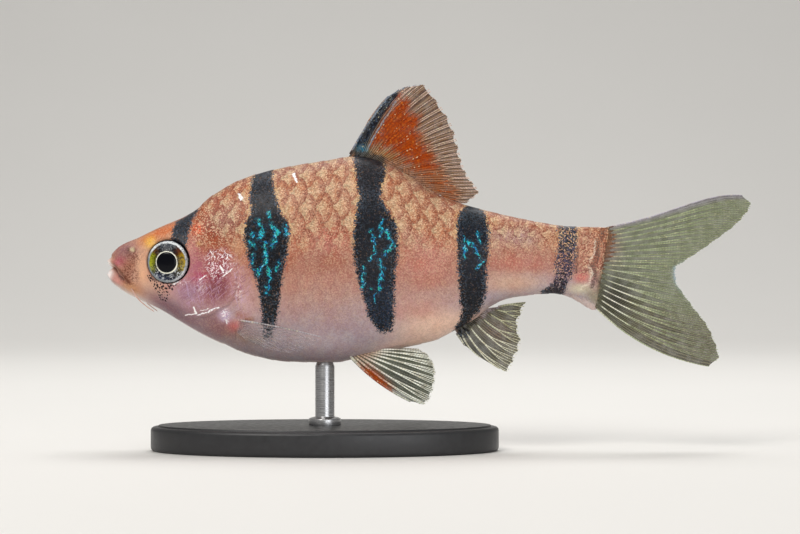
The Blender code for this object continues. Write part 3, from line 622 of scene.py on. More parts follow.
patches = [  # x, z, reach in x and z, turn in degrees, colour, strength
    (2.6, 0.3, 2.6, 2.6, 0, (200, 156, 132), 0.9),  # snout and cheek
    (5.6, -1.6, 2.4, 1.8, 0, (196, 146, 140), 0.8),
    (3.6, -1.6, 1.4, 0.9, -20, (212, 164, 134), 0.8),
    (4.3, 2.75, 1.7, 0.55, 27, (198, 104, 46), 1.0),  # forehead
    (3.55, 1.95, 0.5, 0.5, 0, (240, 184, 66), 0.95),
    (1.4, 1.3, 1.05, 0.95, 30, (134, 88, 92), 0.95),  # snout tip
    (1.15, 0.45, 0.5, 0.42, 0, (170, 72, 88), 0.9),
    (1.75, -0.15, 0.6, 0.95, -35, (150, 88, 62), 0.75),
    (2.95, -0.1, 0.5, 1.5, 0, (236, 184, 146), 0.85),
    (2.05, -1.55, 1.0, 0.5, -30, (206, 146, 96), 0.75),
    (0.95, -0.95, 0.5, 0.38, -35, (206, 132, 122), 0.75),
    (2.02, 1.3, 0.38, 0.36, 0, (120, 76, 66), 0.75),  # nostrils, darkened as painted shade in their pits, with the flap between them
    (2.1, 1.4, 0.2, 0.15, 40, (236, 224, 178), 0.9),
    (7.0, 1.7, 0.6, 1.2, 0, (196, 132, 128), 0.9),  # behind the eye
    (7.36, 1.82, 0.25, 0.22, 0, (232, 208, 120), 0.8),
    (7.2, 0.1, 0.8, 1.3, 0, (176, 98, 118), 0.9),
    (7.5, -0.75, 0.75, 0.5, 15, (186, 52, 92), 0.85),
    (9.0, 0.0, 1.5, 1.3, 0, (150, 62, 76), 0.9),  # gill cover
    (8.9, -1.6, 1.45, 1.0, 35, (120, 46, 64), 0.95),
    (10.0, -0.8, 0.5, 1.7, 8, (196, 140, 136), 0.6),
    (6.6, -1.9, 1.1, 1.0, 0, (158, 122, 146), 0.9),
    (6.6, -3.0, 1.1, 0.5, -10, (176, 136, 146), 0.7),
    (5.3, -3.3, 2.4, 0.7, -33, (112, 84, 98), 0.92),  # throat
    (8.9, -4.6, 2.8, 0.9, -25, (138, 100, 104), 0.9),  # breast
    (9.35, -3.7, 0.55, 0.5, -30, (216, 198, 230), 0.85),
    (10.1, -4.5, 0.6, 0.5, -10, (206, 98, 96), 0.85),
    (10.9, -5.4, 1.3, 0.5, -15, (142, 132, 118), 0.6),
    (9.0, 3.3, 2.3, 1.7, 15, (140, 50, 18), 0.95),  # orange-brown nape side
    (8.4, 5.0, 1.6, 0.9, 35, (160, 72, 34), 0.9),
    (10.4, 5.6, 0.9, 1.6, 0, (178, 98, 54), 0.8),
    (7.25, 2.95, 0.5, 0.45, 20, (232, 92, 44), 0.9),
    (10.5, 1.6, 0.6, 1.6, 0, (202, 132, 84), 0.85),
    (10.9, -2.4, 0.8, 2.1, 10, (204, 160, 160), 0.85),
    (15.6, 1.4, 1.4, 2.6, 0, (196, 122, 92), 0.6),  # flank between the first two bands
    (17.4, 2.0, 1.3, 1.1, 0, (204, 112, 102), 0.7),
    (17.0, -1.0, 2.2, 1.0, 0, (186, 134, 122), 0.6),
    (16.4, 0.5, 2.2, 1.0, 0, (158, 96, 80), 0.62),
    (32.0, 0.3, 2.2, 0.6, 0, (166, 96, 86), 0.6),
    (24.8, 0.4, 2.0, 1.9, 0, (206, 126, 112), 0.7),
    (24.3, -3.4, 2.8, 1.2, 0, (214, 154, 138), 0.75),
    (31.9, 0.4, 2.2, 0.7, 0, (196, 122, 104), 0.8),  # tail root
    (31.6, 2.4, 2.4, 0.9, 0, (182, 156, 156), 0.9),
    (31.4, -1.2, 2.4, 0.8, 0, (224, 178, 150), 0.8),
    (25.8, -4.4, 3.8, 1.0, 9, (255, 210, 184), 0.95),  # belly behind the pelvic fins, paler and lightened further as painted light against the shade under the belly, then before them
    (16.4, -5.6, 3.6, 0.7, -8, (196, 180, 186), 0.7),
    (37.3, 2.0, 0.9, 1.2, 0, (192, 122, 92), 0.9),
    (36.8, -0.8, 0.6, 0.45, 0, (216, 112, 104), 0.85),
    (36.7, -1.65, 1.1, 0.45, 0, (216, 204, 170), 0.85),
    (38.9, 0.9, 0.45, 1.1, -8, (140, 96, 74), 0.9),  # where the flesh runs out between the tail fin's rays
    (38.45, -1.2, 0.45, 1.6, -12, (104, 104, 84), 0.95),
    (37.9, -2.3, 0.9, 0.5, -28, (134, 132, 110), 0.95),
    (36.75, 1.7, 0.5, 0.9, 0, (176, 104, 78), 0.8),
    (24.6, -5.75, 3.4, 0.75, 10, (255, 216, 194), 0.9),  # the belly's edge behind the pelvic fins, lightened as painted light against the shade under it
]
glints = [  # x, z of one end, x, z of the other, half width: the blue-green strokes in the bands
    (11.86, 3.52, 12.2, 2.92, 0.17), (12.2, 2.92, 11.98, 2.23, 0.15), (12.88, 3.3, 13.42, 2.73, 0.13),
    (13.42, 2.73, 13.0, 1.69, 0.16), (13.98, 3.05, 14.12, 2.48, 0.13), (11.16, 1.97, 11.55, 1.69, 0.17),
    (11.56, 0.83, 11.26, 0.25, 0.11), (12.56, 0.7, 12.07, -0.34, 0.11), (12.71, 0.0, 12.84, -0.89, 0.14),
    (12.84, -0.89, 12.56, -2.0, 0.11), (13.52, 0.45, 13.29, -0.34, 0.1), (12.66, 4.26, 12.84, 3.75, 0.09),
    (12.43, 1.78, 12.5, 0.9, 0.13), (11.69, -0.06, 12.0, -0.6, 0.1), (11.4, 2.6, 11.6, 2.4, 0.1),
    (21.39, 3.69, 21.23, 2.48, 0.12), (21.71, 2.86, 22.16, 1.84, 0.12), (22.16, 1.84, 21.65, 0.95, 0.13),
    (20.5, 2.8, 20.63, 2.35, 0.11), (20.76, 2.22, 20.82, 1.33, 0.08), (20.89, 1.08, 20.38, 0.57, 0.08),
    (21.14, 0.63, 21.43, -0.06, 0.11), (21.39, -0.32, 21.08, -1.84, 0.09), (19.96, 0.06, 19.87, -1.53, 0.1),
    (20.47, -1.65, 20.5, -1.72, 0.08), (20.82, -2.03, 20.8, -2.67, 0.07),
    (28.76, 2.73, 28.76, 1.97, 0.12), (28.0, 2.03, 28.5, 1.53, 0.1), (28.5, 1.53, 28.82, 0.7, 0.1),
    (27.64, 2.29, 27.59, 0.89, 0.1), (29.01, 0.45, 28.69, -0.13, 0.07),
]
silverLinesAndPaintedHighlights = [  # bright lines on the gill cover and its lower edge, and glints on the back and cheek: those on the back are painted highlights
    (6.87, -3.08, 7.09, -3.52, 0.06), (7.09, -3.52, 6.27, -3.66, 0.055), (7.2, -3.68, 8.0, -3.42, 0.045),
    (8.0, -3.42, 8.89, -3.01, 0.06), (7.45, -3.3, 8.1, -3.2, 0.03), (9.05, -3.55, 9.5, -3.4, 0.03),
    (9.42, -3.95, 9.5, -4.3, 0.035), (9.2, -3.25, 9.35, -3.6, 0.035),
    (14.5, 7.22, 14.6, 7.02, 0.13), (14.68, 6.84, 14.8, 6.6, 0.1), (10.38, 5.62, 10.55, 5.26, 0.13),
    (7.4, -1.0, 7.9, -0.6, 0.045), (9.3, -0.6, 9.95, -0.1, 0.04), (8.2, 1.2, 8.6, 0.75, 0.05),
    (9.0, 0.1, 9.25, -0.35, 0.07), (9.55, 1.05, 9.7, 0.6, 0.035),
    (5.62, -0.95, 6.1, -0.5, 0.08), (6.1, -0.5, 6.4, -0.05, 0.05), (5.4, -1.3, 5.8, -1.1, 0.05),
]
tailMark = [  # the thin dark mark where the tail fin begins
    (38.5, 2.7, 38.12, 2.0, 0.13), (38.12, 2.0, 38.08, 0.9, 0.15), (38.08, 0.9, 37.7, 0.3, 0.12),
    (37.7, 0.3, 37.82, -0.7, 0.13), (37.82, -0.7, 37.6, -1.5, 0.09), (37.82, -0.7, 38.2, -1.2, 0.07),
    (36.5, 1.6, 36.35, -0.4, 0.06),
]
paleLobes = [  # and the pale edges of the flesh before it
    (37.85, 2.0, 37.8, 1.1, 0.07), (37.8, 1.1, 37.45, 0.55, 0.08), (37.4, 0.1, 37.58, -0.5, 0.09),
    (37.58, -0.5, 37.4, -1.2, 0.09), (37.4, -1.2, 36.7, -1.6, 0.08),
]
dotPatch = [(3.35, -0.6), (5.9, -0.7), (5.6, -1.35), (5.1, -1.95), (4.8, -2.6), (4.35, -2.45), (4.0, -1.8)]
markSpots = {  # x, z, reach in x and z, strength
    "nape": [(9.2, 3.2, 2.2, 1.4, 0.7)],
    "sparkle": [(8.95, 0.55, 1.05, 0.8, 1.0), (8.8, -0.3, 0.7, 0.6, 0.8), (7.5, -1.3, 0.6, 0.7, 0.42),
                (6.0, -1.1, 0.7, 0.35, 0.5), (9.4, -3.7, 0.3, 0.6, 0.9), (10.4, -1.6, 0.35, 1.4, 0.5)],
    "speck": [(1.9, -0.55, 0.8, 0.9, 0.9), (2.3, 0.9, 0.9, 0.5, 0.6), (9.0, 3.4, 2.0, 1.6, 0.3)],
    "streaks": [(8.6, -1.6, 1.6, 1.2, 1.0), (6.8, -1.9, 1.0, 1.1, 1.0), (10.6, -1.8, 0.6, 2.2, 1.0)],
}
cheekLines = [  # behind the mouth and behind the gills: points, half width, colour, strength
    ([(0.68, 0.19), (1.15, -0.25), (1.55, -0.68), (1.93, -1.13)], 0.13, (92, 52, 32), 0.8),
    ([(10.3, -3.62), (11.4, -4.06)], 0.12, (150, 84, 56), 0.7),
]


faceMarks = {  # lengths in mm, but the jaw's width is a share of the way up
    "lips": (255, 252, 250), "lipAway": 0.4, "lipWidth": 0.34, "lipEnd": 0.62, "lipRun": 0.4,
    "cleft": (74, 32, 26), "cleftWidth": 0.12, "cleftEnd": 1.85, "cleftRun": 0.4,
    "cleftStart": 0.1, "startRun": 0.2, "cleftShadeStrength": 0.9,
    "jaw": (240, 226, 218), "jawWidth": 0.08, "jawEnd": 4.5, "jawRun": 2.0, "jawStrength": 0.7,
}
paintedRimLight = {"colour": (226, 206, 196), "share": 0.016, "run": 0.012, "strength": 0.6}  # the pale outline, a painted rim light


def bandInside(x, z, rows):  # how deep a point lies inside a band, in mm, negative outside
    heights, front, rear = np.array(sorted(rows)).T
    inside = np.minimum(x - smoothLine(zip(heights, front))(z), smoothLine(zip(heights, rear))(z) - x)
    return np.minimum(inside, np.minimum(z - heights[0] + 0.3, heights[-1] + 0.6 - z))


def markStrength(name, x, z):
    return sum(place[4] * spot(x, z, place) for place in markSpots[name])


def paintBody(x, z):  # colour, band depth and the strengths of the finer marks at points of the side view
    low, high = bellyLine(x), backLine(x)
    share = (z - low) / (high - low)
    tones = np.array(flankTones, float).T
    colour = np.stack([np.interp(share, tones[0], tone) for tone in tones[1:]], axis=1)
    for centreX, centreZ, reachX, reachZ, turn, target, strength in patches:
        c, s = math.cos(math.radians(turn)), math.sin(math.radians(turn))
        dx, dz = x - centreX, z - centreZ
        far = ((dx * c + dz * s) / reachX) ** 2 + ((dz * c - dx * s) / reachZ) ** 2
        colour = mixTo(colour, target, strength * np.exp(-(far**1.3)))
    # The lips, the line between them as painted shade in the mouth's cleft, the jaw's edge, the cheek's
    # lines and the pale edge of the whole body as a painted rim light
    face, away = faceMarks, lineDistance(x, z, curvePoints(mouth["cleft"], 24))[0]
    lip = bell(away - face["lipAway"], face["lipWidth"]) * ramp((face["lipEnd"] - x) / face["lipRun"])
    colour = mixTo(colour, face["lips"], lip)
    # a dark line along the mouth's cleft: painted shade in the gap between the lips
    line = bell(away, face["cleftWidth"]) * ramp((face["cleftEnd"] - x) / face["cleftRun"])
    line *= ramp((x - face["cleftStart"]) / face["startRun"])
    colour = mixTo(colour, face["cleft"], face["cleftShadeStrength"] * line)
    jaw = bell(share, face["jawWidth"]) * ramp((face["jawEnd"] - x) / face["jawRun"])
    colour = mixTo(colour, face["jaw"], face["jawStrength"] * jaw)
    for keys, half, target, strength in cheekLines:
        colour = mixTo(colour, target, strength * bell(lineDistance(x, z, curvePoints(keys, 12))[0], half))
    # the pale edge of the whole body: a painted rim light
    edge = ramp((paintedRimLight["share"] - np.minimum(share, 1 - share)) / paintedRimLight["run"])
    colour = mixTo(colour, paintedRimLight["colour"], paintedRimLight["strength"] * edge)

    band = np.max([bandInside(x, z, rows) for rows in bands.values()], axis=0)
    inkWeight = np.stack([spot(x, z, ink) for ink in inks]) + 1e-6
    inkWeight = (inkWeight / inkWeight.sum(axis=0)).T
    ink = inkWeight @ np.array([i[4] for i in inks], float)
    density = inkWeight @ np.array([i[5] for i in inks])
    trunk = behindGills(x, z)
    # Grains are coarse on the back, the nape and the tail's root, and sparse on the head
    coarse = ramp((share - 0.38) / 0.3) * (0.3 + 0.7 * ramp((z - 0.6) / 2.5))
    coarse = np.maximum(coarse, ramp((x - 36.2) / 0.8) * ramp((z + 0.9) / 0.8))
    coarse = np.maximum(coarse * (1 - 0.7 * ramp((7.5 - x) / 1.5)), markStrength("nape", x, z))
    least = 0.22 + 0.14 * ramp((x - 13) / 3) * ramp((share - 0.1) / 0.3)
    least -= 0.1 * (1 - trunk) * ramp((8.0 - x) / 2)
    coarse = least + (1 - least) * coarse
    net = trunk * (0.1 + 0.9 * ramp((z - 0.2) / 3.2)) * ramp((38.4 - x) / 1.2)
    speck = markStrength("speck", x, z) + 0.5 * ramp((share - 0.92) / 0.08)
    speck += 0.8 * ramp((x - 38.3) / 0.3) * ramp((z + 0.4) / 0.6)
    marks = np.stack([coarse, markStrength("sparkle", x, z), speck, markStrength("streaks", x, z)], axis=1)
    marks[:, 1:] = np.clip(marks[:, 1:], 0, 1)
    return {"tone": toned(colour, net), "marks": marks, "ink": toned(ink, density), "band": band,
            "dots": ramp(insideDepth(x, z, dotPatch) / 0.3 + 0.5)}


skinColours = {
    "warm": (190, 74, 58), "cool": (214, 194, 190), "freckle": (140, 72, 58),
    "scaleEdge": (158, 90, 66), "scaleMiddle": (208, 168, 128), "scaleCore": (164, 154, 124),
    "darkGrain": (114, 58, 42), "paleGrain": (242, 208, 172), "speck": (104, 52, 36), "dot": (26, 14, 22),
    "mottle": (126, 24, 58), "sliver": (250, 238, 238), "fleck": (244, 214, 222), "halo": (236, 196, 138),
    "black": (7, 7, 10), "greyGrain": (98, 112, 128), "goldGrain": (140, 104, 78),
    "dimBlue": (6, 62, 110), "dimGreen": (8, 104, 112), "blue": (6, 112, 178), "skyBlue": (40, 190, 214),
    "green": (44, 176, 138), "paleBlue": (150, 226, 232),
    "tailMark": (58, 40, 42), "lobe": (232, 216, 196), "silverAndHighlight": (255, 250, 250),
}
sliverTurns = ((0.65, 0.61), (-0.5, 0.64), (1.2, 0.62), (-1.15, 0.65), (0.1, 0.66))  # and how rare they are
streakTurns = ((1.0, (112, 34, 60)), (0.85, (206, 166, 190)), (-0.3, (196, 164, 196)))  # and their colours


def skinMaterial():
    tints = skinColours
    paint = Paint("wetScaledSkin", {
        "Specular IOR Level": 0.2, "Subsurface Weight": 0.08, "Subsurface Radius": (1.0, 0.35, 0.25),
        "Subsurface Scale": 0.3 * mm, "Coat Weight": 0.06, "Coat Roughness": 0.12})
    step, lay, mix, times = paint.step, paint.lay, paint.mix, paint.times
    tone, marks, inkAt = paint.read("tone"), paint.read("marks"), paint.read("ink")
    coarse, sparkle, speck = paint.split(marks["Color"])
    band, dots, rim = [paint.read(name)["Fac"] for name in ("band", "dots", "rim")]
    net = tone["Alpha"]
    fine, medium, cloud = paint.noise(0.13), paint.noise(0.45, 3.0), paint.noise(1.5, 3.0)
    grainA, grainB, grainC = paint.grains(0.085)
    bigA, bigB, bigC = paint.grains(0.16)

    # Ground colour with soft blotches
    strong = paint.plus(0.08, times(net, 0.1))
    warm, cool = [mix(strong, tone["Color"], tints[key]) for key in ("warm", "cool")]
    paint.colour = mix(step(cloud, 0.36, 0.64), cool, warm)
    lay(tints["freckle"], step(medium, 0.45, 0.7), strong, 1.2)
    # The free edge of each scale is darker and its middle paler
    edgeFar = paint.shaken(rim, (medium, 0.7), (grainC, 0.36))
    lay(tints["scaleEdge"], step(edgeFar, 0.5, 0.1), net, 0.56)
    lay(tints["scaleMiddle"], step(edgeFar, 0.36, 0.72), net, 0.55)
    lay(tints["scaleCore"], step(edgeFar, 0.62, 0.9), net, step(bigB, 0.3, 0.7), 0.5)
    # Dark grains gather along the edges of the scales and pale ones inside
    thinned = paint.minus(1.0, times(net, step(edgeFar, 0.15, 0.6, 0.0, 0.5)))
    lay(tints["darkGrain"], step(grainA, 0.48, 0.38), coarse, thinned, 0.72)
    thinned = paint.minus(1.0, times(net, step(edgeFar, 0.55, 0.2, 0.0, 0.6)))
    lay(tints["paleGrain"], step(grainB, 0.64, 0.76), coarse, thinned, 0.56)
    # Brown specks, then the black dots under the eye
    lay(tints["speck"], step(grainC, 0.5, 0.4), step(speck, 0.1, 0.7), 0.75)
    for spacing, radius in ((0.16, 0.062), (0.24, 0.085)):
        lay(tints["dot"], paint.dots(spacing, radius), step(dots, 0.2, 0.45))
    # Magenta mottling, silver slivers and fine streaks on the gill cover
    lay(tints["mottle"], step(medium, 0.5, 0.66), step(sparkle, 0.05, 0.5), 0.8)
    for turn, low in sliverTurns:
        sliver = step(paint.streaks((0.11, 0.3, 0.5), turn), low, low + 0.04)
        lay(tints["sliver"], sliver, step(sparkle, 0.12, 0.6), 0.9)
    for turn, colour in streakTurns:
        lay(colour, step(paint.streaks((0.09, 0.3, 0.8), turn, 3.0, 0.6), 0.53, 0.66), marks["Alpha"], 0.5)
    lay(tints["fleck"], step(grainB, 0.84, 0.9), step(sparkle, 0.1, 0.8), 0.7)
    # The dark bands: gold grains along the edge, ragged sides, and loose grains where they thin out
    lay(tints["halo"], step(band, -0.42, -0.05), step(grainC, 0.5, 0.65), net, 0.55)
    ragged = paint.shaken(band, (medium, 0.36), (grainA, 0.32))
    inside = times(step(ragged, -0.06, 0.08), step(paint.minus(inkAt["Alpha"], grainB), -0.3, 0.06))
    shell = step(band, 0.75, 0.1, 0.25, 1.0)
    ink = mix(step(grainC, 0.25, 0.6, 0.0, 0.88), inkAt["Color"], tints["black"])
    ink = mix(times(step(grainA, 0.66, 0.82), shell, 0.45), ink, tints["greyGrain"])
    ink = mix(times(step(grainB, 0.9, 0.94), shell, 0.5), ink, tints["goldGrain"])
    lay(ink, inside)
    # Blue-green strokes in the bands, made of bright grains
    noise = paint.noise(0.4, 2.0, "Color")
    far = paint.strokeFar(noise, glints, 0.9)
    dim = mix(bigC, tints["dimBlue"], tints["dimGreen"])
    lay(dim, step(far, 2.9, 1.1), step(grainB, 0.44, 0.54), inside, 0.6)
    bright = mix(step(bigB, 0.3, 0.7), tints["blue"], tints["skyBlue"])
    bright = mix(step(bigA, 0.66, 0.72, 0.0, 0.75), bright, tints["green"])
    bright = mix(step(grainA, 0.86, 0.9, 0.0, 0.6), bright, tints["paleBlue"])
    lay(bright, step(far, 1.1, 0.6), step(grainC, 0.26, 0.44), inside)
    # Strokes at the root of the tail fin and on the gill cover, and painted highlights on the back
    for strokes, shake, fade, grains, key in (
            (tailMark, 0.5, (2.4, 0.5), (grainB, 0.3, 0.65, 0.2, 0.8), "tailMark"),
            (paleLobes, 0.5, (2.0, 0.5), (grainC, 0.3, 0.6, 0.1, 0.7), "lobe"),
            (silverLinesAndPaintedHighlights, 0.35, (1.3, 0.6), (grainA, 0.1, 0.3, 0.35, 1.0), "silverAndHighlight")):
        lay(tints[key], step(paint.strokeFar(noise, strokes, shake), *fade), step(*grains))
    height = paint.plus(times(fine, 0.6), medium)
    return paint.finish(height, 0.035, 0.7, Roughness=step(medium, 0.3, 0.7, 0.4, 0.56))


def buildSkin(material):
    rings, sides = len(ringXs), skinMesh["sides"]
    skin, u, v = gridPiece("fishSkin", rings - 1, sides)
    ring, around = np.round(u * (rings - 1)).astype(int), np.round(v * sides).astype(int)
    column = np.minimum(around, sides - around)
    base, normal = flankGrid[ring, column], flankNormals[ring, column]
    x, z = base[:, 0], base[:, 2]
    trunk = behindGills(x, z)
    relief = np.where(x < skinMesh["reliefEnd"], headRelief(x, z), 0.0)
    points = base + normal * (relief * (1 - trunk) - skinMesh["trunkInset"] * trunk)[:, None]
    points[:, 1] *= np.where(around <= sides // 2, -1.0, 1.0)
    setPoints(skin, toWorld(points))
    giveValues(skin, {**paintBody(x, z), "rim": np.ones(len(x))})
    finishPiece(skin, material, ["head", "torso", "tail"], 60, 0.0004)


# Scales: one plate is modelled, then set in rows over the trunk
scalePlan = {
    "columnStep": [(6.5, 1.2), (10.0, 1.34), (24.0, 1.36), (32.0, 1.15), (38.7, 0.95)],
    "rowStep": [(6.5, 1.15), (12.0, 1.42), (22.0, 1.45), (30.0, 1.1), (34.0, 0.95), (38.7, 0.92)],
    "firstX": 7.0, "lastX": 38.15, "rows": 8, "behindGills": 0.6, "overEdge": 0.3,
    "front": -0.95, "rear": 0.5, "shoulder": -0.35, "halfHeight": 1.06,  # in column and row steps
    "columns": 6, "ribs": 8, "wall": 0.13, "frontLift": -0.01, "rise": 0.034, "arch": 0.02,
    "mapPatch": 0.003, "wobble": 0.035, "tipLift": 0.3, "seed": 7,
}


def plateRear(across):  # the free edge's place at a share of the plate's half height
    rear = (scalePlan["rear"] - scalePlan["shoulder"]) * np.sqrt(np.maximum(1 - across**2, 0))
    return scalePlan["shoulder"] + rear


def scaleTemplate():  # x in column steps, y in row steps, z the lift in mm
    plan = scalePlan
    plate, p, q = gridPiece("onePlate", plan["columns"], plan["ribs"])
    across = 2 * q - 1
    x = plan["front"] + (plateRear(across) - plan["front"]) * p**0.85
    lift = plan["frontLift"] + plan["rise"] * (x - plan["front"]) - plan["arch"] * across**2
    setPoints(plate, np.stack([x, across * plan["halfHeight"], lift], axis=1))
    startEdit(plate)
    bpy.ops.mesh.extrude_region_move(TRANSFORM_OT_translate={"value": (0, 0, -plan["wall"])})
    bpy.ops.mesh.dissolve_faces()  # the underside, which nothing shows, becomes one face
    endEdit()
    corners = np.array([v.co for v in plate.data.vertices])
    faces = [list(face.vertices) for face in plate.data.polygons]
    bpy.data.objects.remove(plate)
    return corners, faces, plateRear(corners[:, 1] / plan["halfHeight"]) - corners[:, 0]


def scaleSeats():  # x, row and the two steps of every place on one flank
    columnStep, rowStep = smoothLine(scalePlan["columnStep"]), smoothLine(scalePlan["rowStep"])
    seats, x, index = [], scalePlan["firstX"], 0
    while x < scalePlan["lastX"]:
        for row in range(-scalePlan["rows"], scalePlan["rows"] + 1):
            if (row + index) % 2 == 0:
                seats.append((x, row, float(columnStep(x)), float(rowStep(x))))
        x += float(columnStep(x)) / 2
        index += 1
    return seats


def buildScales(material):
    plan = scalePlan
    template, faces, rimShare = scaleTemplate()
    rng = np.random.default_rng(plan["seed"])
    reach = bodyShape["endX"] - bodyShape["back"][0][0]
    for word, side in flanks:
        points, rims, mapPoints, allFaces = [], [], [], []
        for x, row, columnStep, rowStep in scaleSeats():
            rowShare = rowStep / float(np.interp(x, ringXs, flankLength))
            share = 0.5 + row * rowShare
            if not -plan["overEdge"] * rowShare < share < 1 + plan["overEdge"] * rowShare:
                continue
            onFlank = min(max(share, 0), 1)
            seat = skinPoint(x, onFlank, 1.0)
            if behindGills(seat[0], seat[2]) < plan["behindGills"]:
                continue
            wobbleX, wobbleZ, grow, tip = rng.normal(0, plan["wobble"], 4)
            plateX = x + (template[:, 0] * (1 + grow) + wobbleX) * columnStep
            plateShare = share + (template[:, 1] * (1 + grow * 0.5) + wobbleZ) * rowShare
            lift = template[:, 2] + plan["tipLift"] * tip * template[:, 0] * template[:, 2].max()
            allFaces += [[corner + len(points) * len(template) for corner in face] for face in faces]
            points.append(skinPoint(np.minimum(plateX, ringXs[-1]), plateShare, side, lift))
            rims.append(rimShare * columnStep)
            centre = np.array([x / reach, 0.5 + side * (1 - onFlank) / 2])
            mapPoints.append(centre + plan["mapPatch"] / 2 * template[:, :2])
        scales = joinedPiece("flankScales" + word, points, allFaces, mapPoints)
        spots = np.concatenate(points)
        giveValues(scales, {**paintBody(spots[:, 0], spots[:, 2]), "rim": np.concatenate(rims)})
        finishPiece(scales, material, [], 35)


# Fins: a thin web, with fine forked rays as rods of their own in it
fins = {
    "dorsal": {
        "rays": 13, "line": "back", "roots": {0: 19.0, 2: 19.7, 11: 25.3, 12: 26.1},
        "tips": {0: (20.2, 11.2), 1: (21.8, 13.3), 2: (23.3, 14.06), 3: (24.5, 14.2), 4: (25.55, 13.0),
                 5: (26.4, 11.75), 6: (26.95, 10.5), 7: (27.25, 9.35), 8: (27.5, 8.35), 9: (27.85, 7.4),
                 10: (28.4, 6.55), 11: (28.85, 5.85), 12: (27.95, 5.04)},
        "sags": {0: 0.0, 2: 0.55, 4: 0.3, 11: -0.1, 12: -0.2}, "closesFrom": 9, "nodes": ["dorsal_fin"],
        "notch": 0.22, "plainRays": 2, "rodRoot": 0.07, "rodTip": 0.042, "forks": (0.26, 0.42),
        "open": (0.62, 0.72), "spread": 1.25,
    },
    "anal": {
        "rays": 9, "line": "belly", "roots": {0: 27.05, 2: 27.65, 8: 30.4},
        "tips": {0: (27.75, -6.05), 1: (29.0, -7.0), 2: (31.0, -8.07), 3: (31.5, -7.3), 5: (32.1, -5.6),
                 6: (31.85, -4.6), 8: (32.5, -2.7)},
        "sags": {0: 0.0, 2: -0.35, 8: 0.05}, "closesFrom": 8, "nodes": ["anal_fin"],
        "notch": 0.2, "plainRays": 2, "rodRoot": 0.08, "rodTip": 0.04, "forks": (0.3, 0.5),
        "open": (0.8, 0.9), "spread": 0.95,
    },
    "tail": {
        "rays": 19, "line": "tailEnd", "roots": {0: 3.13, 9: 0.2, 10: -0.1, 18: -3.1},
        "tips": {0: (49.3, 5.6), 1: (49.98, 4.97), 3: (49.2, 3.72), 6: (46.6, 1.68), 8: (44.75, 0.42),
                 9: (44.15, -0.05), 10: (44.15, -0.85), 12: (45.3, -2.75), 15: (46.9, -5.05),
                 17: (47.5, -6.95), 18: (46.7, -7.67)},
        "sags": {0: -0.06, 3: -0.03, 9: 0.0, 13: -0.3, 18: -0.8},
        "lateSags": {0: 0.42, 2: 0.36, 6: 0.0, 18: 0.0},
        "nodes": ["tail_fin_upper_lobe", "tail_fin_lower_lobe"],
        "notch": 0.12, "plainRays": 1, "rodRoot": 0.058, "rodTip": 0.028, "forks": (0.06, 0.3),
        "open": (0.9, 1.0), "spread": 1.05,
    },
    "pelvic": {
        "rays": 9, "roots": {0: (18.85, -6.8), 8: (20.6, -6.4)},
        "tips": {0: (23.5, -10.2), 1: (24.5, -10.42), 3: (25.25, -9.35), 5: (25.45, -8.0), 7: (24.9, -6.85),
                 8: (24.2, -6.42)},
        "sags": {0: -0.3, 4: 0.0, 8: 0.1}, "rootY": {0: 0.85, 8: 0.6}, "tipY": {0: 3.3, 4: 2.8, 8: 2.1},
        "bow": 1.0, "nodes": ["pelvic_fin_"],
        "notch": 0.16, "plainRays": 1, "rodRoot": 0.085, "rodTip": 0.042, "forks": (0.35, 0.6),
        "open": (0.9, 1.0), "spread": 0.85,
    },
    "pectoral": {
        "rays": 10, "roots": {0: (9.85, -3.95), 9: (10.05, -4.75)},
        "tips": {0: (16.75, -5.27), 1: (16.55, -5.6), 3: (15.6, -6.15), 5: (14.4, -6.45), 7: (13.1, -6.3),
                 9: (11.9, -5.8)},
        "sags": {0: 0.12, 9: -0.15}, "rootY": {0: 1.9, 9: 1.5}, "tipY": {0: 4.3, 5: 4.0, 9: 3.4},
        "bow": 0.6, "nodes": ["pectoral_fin_"],
        "notch": 0.08, "plainRays": 1, "rodRoot": 0.055, "rodTip": 0.024, "forks": (0.45, 0.7),
        "open": (0.9, 1.0), "spread": 0.7,
    },
}
finMesh = {"perGap": 6, "rows": 44, "webHalf": 0.014, "rootHalf": 0.06, "rootFades": 0.9, "rootIn": 0.09,
           "rootDeep": 0.3, "gap": 0.3, "gapCloses": 3, "wave": 0.1, "edgeClosed": 0.15, "endClosed": 0.02,
           "rodRows": 34, "leastRows": 12, "rodSides": 6, "wideFork": 0.25, "narrowFork": 0.125,
           "forkReach": 0.95, "jitter": 0.03, "thinner": 0.28, "thinsOver": 0.15, "firstThicker": 1.35}


def rayLine(keys):  # a value or point for any ray, also between two
    values = np.array(list(keys.values()), float)
    if values.ndim == 1:
        return smoothLine(zip(keys, values))
    columns = [smoothLine(zip(keys, column)) for column in values.T]
    return lambda k: np.stack([column(k) for column in columns], axis=-1)


